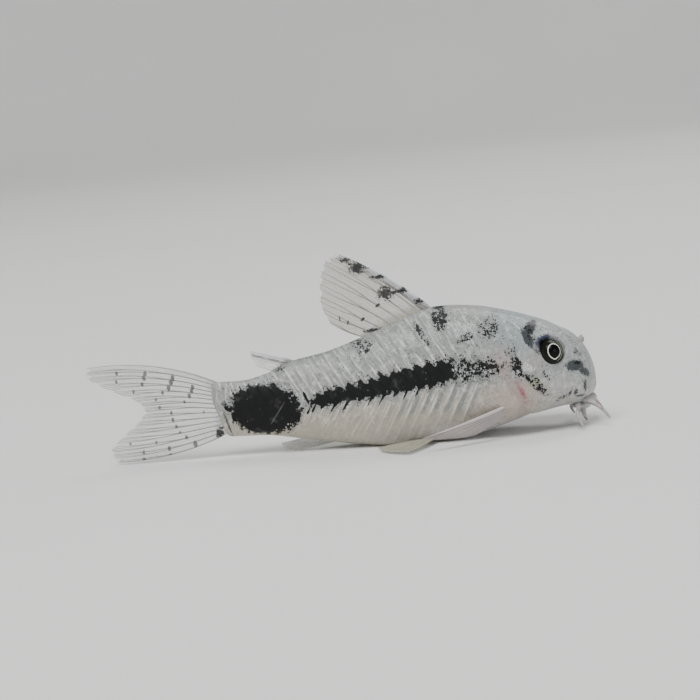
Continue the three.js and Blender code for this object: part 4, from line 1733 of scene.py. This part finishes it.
@dataclass
class Fin:
    """A fin: a fan of tapering rays, most of them forked, with a thin clear web between them.

    Its base runs from the first ray's root to the last one's, and its margin goes through the tips.
    """

    name: str
    base: tuple[Triple, Triple]
    margin: tuple[Triple, ...]
    rays: int
    bow: Pair = (0.0, 0.0)
    out: Triple = (0.0, 1.0, 0.0)
    forks: int = 2
    fork_at: Pair = (0.3, 0.58)
    fork_turn: Pair = (0.2, 0.1)
    ray_radius: float = 0.065
    tip_radius: float = 0.022
    spine_radius: float = 0.1
    web_in: float = 0.05
    web_thickness: float = 0.035
    pleat: float = 0.03
    sunk: float = 0.35
    flip: int = 1
    strands: tuple[float, ...] = ()
    rooted_by: float = 0.1
    ray_cells: Cells = (16, 6)
    web_cells: Cells = (6, 22)

    def placed(self, place: Triple) -> Array:
        """A place on the side of the fish that the fin is on."""
        return np.array([place[0], self.flip * place[1], place[2]])

    @property
    def sunk_share(self) -> float:
        """How much of a ray's length is hidden in the flesh."""
        middle = self.placed(self.margin[len(self.margin) // 2]) - self.placed(self.base[0])
        return self.sunk / float(np.linalg.norm(middle))

    def is_spine(self, ray: float) -> bool:
        """Whether a ray is the fin's thick, unforked front spine."""
        return ray == 0 and self.spine_radius > self.ray_radius

    def surface(self, across: Array, along: Array) -> Array:
        """Points of the fin's middle surface.

        Args:
            across: shares from the first ray to the last.
            along: shares from the base to the margin, below 0 in the flesh.

        Returns:
            The points, in millimetres, without the tail's swing.
        """
        first, last = (self.placed(place) for place in self.base)
        root = first + (last - first) * across[:, None]
        tip = line_through(*[tuple(self.placed(place)) for place in self.margin])(across)
        run = tip - root
        bow = self.bow[0] + (self.bow[1] - self.bow[0]) * across
        inside = np.clip(along, 0, 1)
        bent = unit(np.cross(self.out, run)) * (4 * bow * inside * (1 - inside))[:, None]
        return root + run * along[:, None] + bent

    def branches(self, ray: int) -> list[tuple[float, Pair]]:
        """Sets out the branches of a ray.

        Args:
            ray: the ray's number from the front.

        Returns:
            For each branch the share of the ray where it starts, and its turns as -1, 0 or 1.
        """
        if self.forks == 0 or self.is_spine(ray):
            return [(0.0, STRAIGHT)]
        found = [(0.0, (-1.0, 0.0)), (self.fork_at[0], (1.0, 0.0))]
        if self.forks == 2:
            found = [(start, (turn, -1.0)) for start, (turn, _) in found]
            found += [(self.fork_at[1], (turn, 1.0)) for _, (turn, __) in found]
        return found

    def ray_tube(self, ray: float, start: float, turns: Pair) -> Piece:
        """One branch of a ray as a tapering tube.

        Args:
            ray: the ray's number from the front, with a fraction for a strand between two.
            start: the share of the ray at which the branch starts.
            turns: which way it turns at each fork, as -1, 0 or 1.

        Returns:
            The tube.
        """
        spacing = 1 / (self.rays - 1)
        root_radius = self.spine_radius if self.is_spine(ray) else self.ray_radius
        begin = start - (self.sunk_share if start == 0 else 0)

        def along(t: Array) -> Array:
            """The share of the ray, for shares of the branch."""
            return begin + (1.0 - begin) * t

        def across(t: Array) -> Array:
            """The share of the way from the first ray to the last."""
            first = turns[0] * self.fork_turn[0] * smooth_step(self.fork_at[0], 0.75, along(t))
            second = turns[1] * self.fork_turn[1] * smooth_step(self.fork_at[1], 0.95, along(t))
            return np.clip(spacing * (ray + first + second), 0, 1)

        def path(t: Array) -> Array:
            """The middle of the branch."""
            return self.surface(across(t), along(t))

        def radius(t: Array) -> Array:
            """The branch's radius, drawn in at the root."""
            rooted = 0.25 + 0.75 * smooth_step(-self.sunk_share, self.rooted_by, along(t))
            taper = np.clip(along(t), 0, 1) ** 0.7
            return rooted * (root_radius + (self.tip_radius - root_radius) * taper)

        def numbers(t: Array) -> Array:
            """The ray's number and the share from base to margin."""
            return np.stack([across(t) * (self.rays - 1), along(t)], axis=-1)

        lengthways = max(5, int(self.ray_cells[0] * (1 - start)))
        return tube("ray", path, radius, (lengthways, self.ray_cells[1]), numbers)

    def web_points(self, u: Array, v: Array) -> tuple[Array, Array]:
        """The web, drawn in between the tips of the rays and lightly pleated.

        Args:
            u: shares from the first ray to the last.
            v: shares from the sunk root to the margin.

        Returns:
            The points, and for the map the number of the ray and the share from the base to the margin.
        """
        in_rays = u * (self.rays - 1)
        between = np.sin(math.pi * in_rays) ** 2
        ragged = 0.35 * np.sin(in_rays * 7.3) * np.sin(in_rays * 3.1 + 1)
        reach = 1 - self.web_in * (0.25 + between * (0.75 + ragged))
        along = -self.sunk_share + (reach + self.sunk_share) * v
        side = np.where(np.floor(in_rays) % 2 == 0, 1, -1)
        pleat = self.pleat * between * np.sin(math.pi * v) * side
        points = self.surface(u, along) + pleat[:, None] * np.array(self.out)
        return points, np.stack([in_rays, along], axis=-1)

    def build(self, ray_finish: Material, web_finish: Material, slot: str) -> None:
        """Makes the fin's rays and web, and hides the solid that they stand for.

        Args:
            ray_finish: what the rays are made of.
            web_finish: what the web is made of.
            slot: not used.
        """
        tubes = [self.ray_tube(ray, *branch) for ray in range(self.rays) for branch in self.branches(ray)]
        tubes += [self.ray_tube(strand, 0.0, STRAIGHT) for strand in self.strands]
        rays = join(f"{self.name}_rays", tubes)
        across, lengthways = self.web_cells
        web = shaped_grid(f"{self.name}_web", ((self.rays - 1) * across, lengthways), self.web_points)
        for piece, finish in ((rays, ray_finish), (web, web_finish)):
            swing_tail(piece)
            dress(piece, finish)
            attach(piece, "root")
        select_only(web)
        bpy.ops.object.modifier_add(type="SOLIDIFY")
        thickness = web.modifiers[-1]
        thickness.thickness = self.web_thickness * MM
        thickness.offset = 0
        bpy.ops.object.modifier_apply(modifier=thickness.name)
        bpy.ops.object.shade_smooth()
        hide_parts(self.name)


@dataclass
class Feelers:
    """The feelers round the mouth and the thick lips that they grow from."""

    root_radius: float = 0.22
    tip_radius: float = 0.07
    lip_radius: float = 0.27
    cells: Cells = (22, 14)
    lip_cells: Cells = (48, 20)

    def paths(self) -> dict[str, tuple[Triple, ...]]:
        """Sets out the feelers of the left side.

        Returns:
            The places that each goes through, by the name of its solid where it has one.
        """
        return {
            "barbel_upper": ((11.2, 0.9, 1.75), (11.75, 1.55, 1.6), (12.35, 1.95, 1.15), (12.75, 2.15, 0.6)),
            "barbel_lower": ((10.9, 0.9, 1.55), (10.85, 1.6, 1.3), (10.75, 2.1, 0.85), (10.95, 2.4, 0.35)),
            "chin": ((11.3, 0.42, 1.25), (11.3, 0.52, 0.8), (11.42, 0.66, 0.35)),
        }

    def taper(self, t: Array) -> Array:
        """A feeler's radius along it."""
        return self.root_radius + (self.tip_radius - self.root_radius) * t ** 0.8

    def lip(self, name: str, middle: Pair, reach: Pair, radius: float) -> Piece:
        """One lip: a soft roll round the mouth, from corner to corner.

        Args:
            name: its name.
            middle: the x and z of the bend's centre.
            reach: how far the bend goes forwards and to each side.
            radius: the roll's radius in its middle.

        Returns:
            The lip.
        """
        half_turn = 0.55 * math.pi

        def path(t: Array) -> Array:
            """The middle of the roll."""
            turn = half_turn * (2 * t - 1)
            x = middle[0] + reach[0] * np.cos(turn)
            return np.stack([x, reach[1] * np.sin(turn), middle[1] + 0.1 * np.sin(turn) ** 2], axis=-1)

        def width(t: Array) -> Array:
            """The roll's radius, least at the corners."""
            return radius * (1 - 0.4 * (2 * t - 1) ** 2)

        return tube(name, path, width, self.lip_cells)

    def build(self, finish: Material) -> None:
        """Makes the lips and all the feelers, and hides the solids that they stand for.

        Args:
            finish: what they are made of.
        """
        pieces = [join("lips", [
            self.lip("upper_lip", (10.95, 1.68), (1.02, 0.98), self.lip_radius + 0.02),
            self.lip("lower_lip", (10.8, 1.27), (0.78, 0.8), self.lip_radius - 0.02),
        ])]
        for side in Side:
            for name, places in self.paths().items():
                path = line_through(*[(x, side.value * y, z) for x, y, z in places])
                piece = tube(f"{name}_feeler_{side.word}", path, self.taper, self.cells)
                if name in ("barbel_upper", "barbel_lower"):
                    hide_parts(f"{name}_{side.word}")
                pieces.append(piece)
        for piece in pieces:
            swing_tail(piece)
            dress(piece, finish)
            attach(piece, "root")


@dataclass
class Nostrils:
    """A short hollow tube before each eye.

    Its width and height are given from the middle of its floor, up its inside and over the rim, to its foot.
    """

    root: Triple = (11.5, 0.5, 5.45)
    way: Triple = (0.74, 0.22, 0.64)
    width: Graph = Graph(
        (0, 0), (0.1, 0.15), (0.4, 0.115), (0.5, 0.095), (0.6, 0.07), (0.85, 0.05), (1, 0))
    height: Graph = Graph(
        (0, -0.2), (0.1, -0.2), (0.4, 0.22), (0.5, 0.27), (0.6, 0.22), (0.85, 0.0), (1, -0.02))
    slant: float = 0.8
    uneven: float = 0.12
    cells: Cells = (30, 24)

    def build(self, finish: Material, skin: Piece) -> None:
        """Makes both nostrils as hollow tubes that stand on the skin.

        Args:
            finish: what they are made of.
            skin: the finished skin.
        """
        on_skin = points_of(skin)
        for side in Side:
            apart = np.linalg.norm(on_skin - np.array(self.root) * side.mirror, axis=1)
            root = on_skin[np.argmin(apart)]
            way = unit(np.array(self.way) * side.mirror)
            right = unit(np.cross(way, [0, 0, 1]))
            up = np.cross(right, way)

            def cup(u: Array, v: Array) -> tuple[Array, Array]:
                """The nostril's points and shares, from the middle of its floor over its rim to its foot."""
                turn = 2 * math.pi * v
                width = self.width(u) * (1 + self.uneven * np.sin(3 * turn + 1))
                tilt = self.height(u) + self.slant * self.width(u) * np.sin(turn)
                ring = np.outer(width * np.cos(turn), right) + np.outer(width * np.sin(turn), up)
                return root + ring + np.outer(tilt, way), np.stack([u, v], axis=-1)

            piece = shaped_grid(f"nostril_{side.word}", self.cells, cup)
            close_up(piece)
            dress(piece, finish)
            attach(piece, "root")


TAIL_DOTS = (
    (-18.38, 6.03, 0.14), (-18.46, 5.48, 0.12), (-16.54, 5.88, 0.18), (-16.64, 5.59, 0.18),
    (-16.81, 5.2, 0.14), (-17.42, 4.75, 0.12), (-17.82, 4.28, 0.11), (-14.79, 5.44, 0.2),
    (-14.92, 5.15, 0.2), (-15.11, 4.81, 0.18), (-15.54, 4.55, 0.14), (-16.03, 4.13, 0.12),
    (-15.84, 3.59, 0.12), (-13.57, 4.73, 0.17), (-13.65, 4.49, 0.17), (-13.83, 4.2, 0.18),
    (-14.2, 3.85, 0.1), (-15.11, 3.17, 0.14), (-15.06, 2.72, 0.14), (-14.87, 2.26, 0.12),
    (-14.68, 1.88, 0.1), (-14.29, 1.53, 0.14), (-13.77, 1.03, 0.21), (-13.75, 0.73, 0.21),
    (-16.29, 1.33, 0.12), (-15.49, 0.87, 0.17), (-15.44, 0.41, 0.17), (-17.18, 0.74, 0.13),
    (-17.21, 0.29, 0.13), (-17.99, 1.36, 0.1), (-18.96, 0.37, 0.1), (-13.01, 3.05, 0.07),
)
DORSAL_BLOTS = (
    (-2.28, 11.45, 0.6, 0.42), (-0.65, 9.65, 0.5, 0.5), (-2.95, 12.0, 0.4, 0.16),
    (-0.95, 10.75, 0.6, 0.14), (0.35, 9.7, 0.5, 0.14), (1.4, 8.95, 0.3, 0.2), (-1.6, 7.35, 0.7, 0.14),
)


def middle_fins() -> list[tuple[Fin, FinFinish]]:
    """Sets out the fins on the fish's middle plane.

    Returns:
        Each fin with its finish.
    """
    dorsal = Fin(
        name="dorsal_fin",
        base=((2.15, 0, 8.35), (-2.3, 0, 7.0)),
        margin=((-3.4, 0, 12.45), (-4.25, 0, 12.1), (-4.75, 0, 10.9), (-4.85, 0, 9.5), (-4.35, 0, 8.1)),
        rays=8, bow=(0.26, -0.1), forks=1, strands=(0.22, 0.42),
        ray_radius=0.055, tip_radius=0.016, spine_radius=0.2, web_in=0.035,
    )
    adipose = Fin(
        name="adipose_fin",
        base=((-7.15, 0, 5.95), (-8.3, 0, 5.35)),
        margin=((-9.65, 0, 6.75), (-9.55, 0, 6.3), (-9.3, 0, 5.75)),
        rays=3, forks=0, strands=(0.75,),
        ray_radius=0.02, tip_radius=0.015, spine_radius=0.13, web_in=0.0,
    )
    tail = Fin(
        name="tail_fin",
        base=((-11.55, 0, 4.7), (-11.55, 0, 1.6)),
        margin=(
            (-20.35, 0, 6.5), (-20.3, 0, 5.85), (-18.9, 0, 4.9), (-17.3, 0, 4.1), (-16.8, 0, 3.5),
            (-17.3, 0, 2.75), (-18.4, 0, 1.9), (-19.3, 0, 0.95), (-18.9, 0, 0.2),
        ),
        rays=15, bow=(0.68, -0.4), ray_radius=0.055, tip_radius=0.014, spine_radius=0.07, web_in=0.03,
    )
    anal = Fin(
        name="anal_fin",
        base=((-4.3, 0, 0.55), (-6.2, 0, 0.9)),
        margin=((-7.1, 0, 0.05), (-8.0, 0, 0.2), (-8.2, 0, 0.6)),
        rays=7, forks=1, ray_radius=0.05,
    )
    return [
        (dorsal, FinFinish(
            "dorsal", bone=(0.29, 0.28, 0.25), skin=(0.46, 0.42, 0.34), clearness=0.68,
            dot_rows=(0.3, 0.5, 0.68), blots=DORSAL_BLOTS, white_spine=0.9,
        )),
        (adipose, FinFinish(
            "adipose", bone=(0.6, 0.62, 0.62), skin=(0.6, 0.62, 0.6), clearness=0.82, white_spine=0.9,
        )),
        (tail, FinFinish(
            "tail", bone=(0.29, 0.29, 0.275), skin=(0.58, 0.59, 0.58), clearness=0.8,
            dots=TAIL_DOTS, blots=((-12.1, 1.6, 0.26, 0.5),), white_spine=0.2,
        )),
        (anal, FinFinish("anal", bone=(0.5, 0.5, 0.46), skin=(0.6, 0.6, 0.57), clearness=0.74)),
    ]


PECTORAL_FINISH = FinFinish(
    "breast", bone=(0.56, 0.50, 0.49), skin=(0.60, 0.545, 0.53), clearness=0.55,
    white_spine=0.7, spine=(0.66, 0.6, 0.6), root=(0.4, 0.33, 0.31),
)
PELVIC_FINISH = FinFinish("pelvic", bone=(0.58, 0.55, 0.40), skin=(0.62, 0.6, 0.5), clearness=0.55)


def paired_fins(side: Side) -> tuple[Fin, Fin]:
    """Sets out the fins of one side.

    Args:
        side: the side.

    Returns:
        The pectoral and the pelvic fin.
    """
    pectoral = Fin(
        name=f"pectoral_fin_{side.word}",
        base=((7.0, 2.4, 2.3), (6.1, 2.45, 1.6)),
        margin=((0.75, 5.0, 0.95), (1.5, 4.5, 0.7), (3.0, 3.7, 0.5), (4.0, 3.15, 0.45)),
        rays=8, bow=(side.value * -0.2, side.value * -0.1), out=(-0.095, side.value * 0.304, 0.948),
        forks=1, spine_radius=0.18, sunk=0.5, flip=side.value, rooted_by=0.4,
    )
    pelvic = Fin(
        name=f"pelvic_fin_{side.word}",
        base=((1.65, 1.75, 0.42), (0.75, 1.55, 0.3)),
        margin=((-0.3, 5.2, 0.22), (-1.1, 4.6, 0.2), (-1.9, 3.6, 0.2), (-2.1, 2.6, 0.22)),
        rays=7, bow=(side.value * -0.15, side.value * -0.05), out=(0, side.value * 0.05, 1),
        forks=1, sunk=0.5, flip=side.value,
    )
    return pectoral, pelvic


@dataclass
class Studio:
    """The plain pale floor, the soft lights and the camera at the photo's angle."""

    aim: Triple = (-3.245, 0.0, 6.236)
    distance: float = 150.0
    elevation: float = 8.0
    roll: float = 5.62
    frame_width: float = 44.8
    floor_reach: float = 320.0
    wall_run: float = 380.0
    wall_rise: float = 420.0
    floor_cells: Cells = (60, 72)
    floor_tones: tuple[Triple, Triple] = ((0.74, 0.74, 0.73), (0.8, 0.8, 0.79))
    air: Triple = (0.9, 0.93, 0.96)
    air_strength: float = 0.18

    def sweep(self) -> None:
        """The floor, which curves up into a wall on every side."""
        hub = 0.02

        def bowl(u: Array, v: Array) -> tuple[Array, Array]:
            """The floor's points and shares, from the hub in its middle to the top of the wall."""
            outside = u > hub
            reach = (self.floor_reach + self.wall_run * u) * outside
            rise = self.wall_rise * smooth_step(0, 1, u) * u * outside
            turn = 2 * math.pi * v
            points = np.stack([reach * np.cos(turn), reach * np.sin(turn), rise], axis=-1)
            return points, np.stack([u, v], axis=-1)

        floor = shaped_grid("floor", self.floor_cells, bowl)
        close_up(floor, 0.01)
        material, wiring, shader = new_material("pale_floor", Roughness=0.9)
        tone = wiring.noise(wiring.place(), 0.02)
        wiring.feed(shader.inputs["Base Color"], wiring.mix(tone, *self.floor_tones))
        dress(floor, material)

    def light(self, name: str, place: Triple, size: float, power: float, colour: Triple = (1, 1, 1)) -> None:
        """A square soft light that faces the fish.

        Args:
            name: its name.
            place: where it hangs, in metres.
            size: its side in metres.
            power: its power in watts.
            colour: its tint.
        """
        deselect()
        bpy.ops.object.light_add(type="AREA", location=place)
        lamp = bpy.context.object
        lamp.name = name
        lamp.data.size, lamp.data.energy, lamp.data.color = size, power, colour
        to_fish = Vector(self.aim) * MM - Vector(place)
        lamp.rotation_euler = to_fish.to_track_quat("-Z", "Y").to_euler()

    def room(self) -> None:
        """The soft even light that comes from all round."""
        world = bpy.data.worlds.new("pale_room")
        world.use_nodes = True
        background = world.node_tree.nodes["Background"]
        background.inputs["Color"].default_value = (*self.air, 1)
        background.inputs["Strength"].default_value = self.air_strength
        bpy.context.scene.world = world

    def camera(self) -> None:
        """The camera, at the photo's angle."""
        deselect()
        bpy.ops.object.camera_add()
        camera = bpy.context.object
        camera.name = "photo_camera"
        camera.data.clip_start, camera.data.clip_end = 0.005, 10
        camera.data.angle = 2 * math.atan(self.frame_width / 2 / self.distance)
        rise = math.radians(self.elevation)
        aim = Vector(self.aim) * MM
        away = Vector((0, -math.cos(rise), math.sin(rise)))
        upright = away.to_track_quat("Z", "Y").to_matrix()
        turn = Matrix.Rotation(math.radians(-self.roll), 3, away)
        camera.matrix_world = Matrix.Translation(aim + away * self.distance * MM) @ (turn @ upright).to_4x4()
        bpy.context.scene.camera = camera

    def build(self) -> None:
        """Makes floor, lights, world and camera."""
        self.sweep()
        self.light("key", (-0.1, -0.2, 0.42), 0.26, 2.3)
        self.light("front", (0.32, -0.4, 0.16), 0.22, 0.6, (0.96, 0.98, 1.0))
        self.light("back", (0.12, 0.2, 0.34), 0.2, 0.7, (1.0, 0.99, 0.97))
        self.room()
        self.camera()


def main() -> None:
    """Builds the fish and its studio in order."""
    logging.basicConfig(level=logging.INFO, format="%(name)s: %(message)s")
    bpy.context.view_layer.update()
    effects = Effects()
    Studio().build()
    skin = Skin().build(SkinFinish().build(effects))
    eye_finish = EyeFinish().build(effects)
    for side in Side:
        Eye(side).build(eye_finish)
    for fin, finish in middle_fins():
        fin.build(*finish.build(effects), "clear_fin")
    paired = [finish.build(effects) for finish in (PECTORAL_FINISH, PELVIC_FINISH)]
    for side in Side:
        for fin, finishes in zip(paired_fins(side), paired):
            fin.build(*finishes, "pale_fin")
    feeler = FeelerFinish().build(effects)
    Feelers().build(feeler)
    Nostrils().build(feeler, skin)


if __name__ == "__main__":
    main()
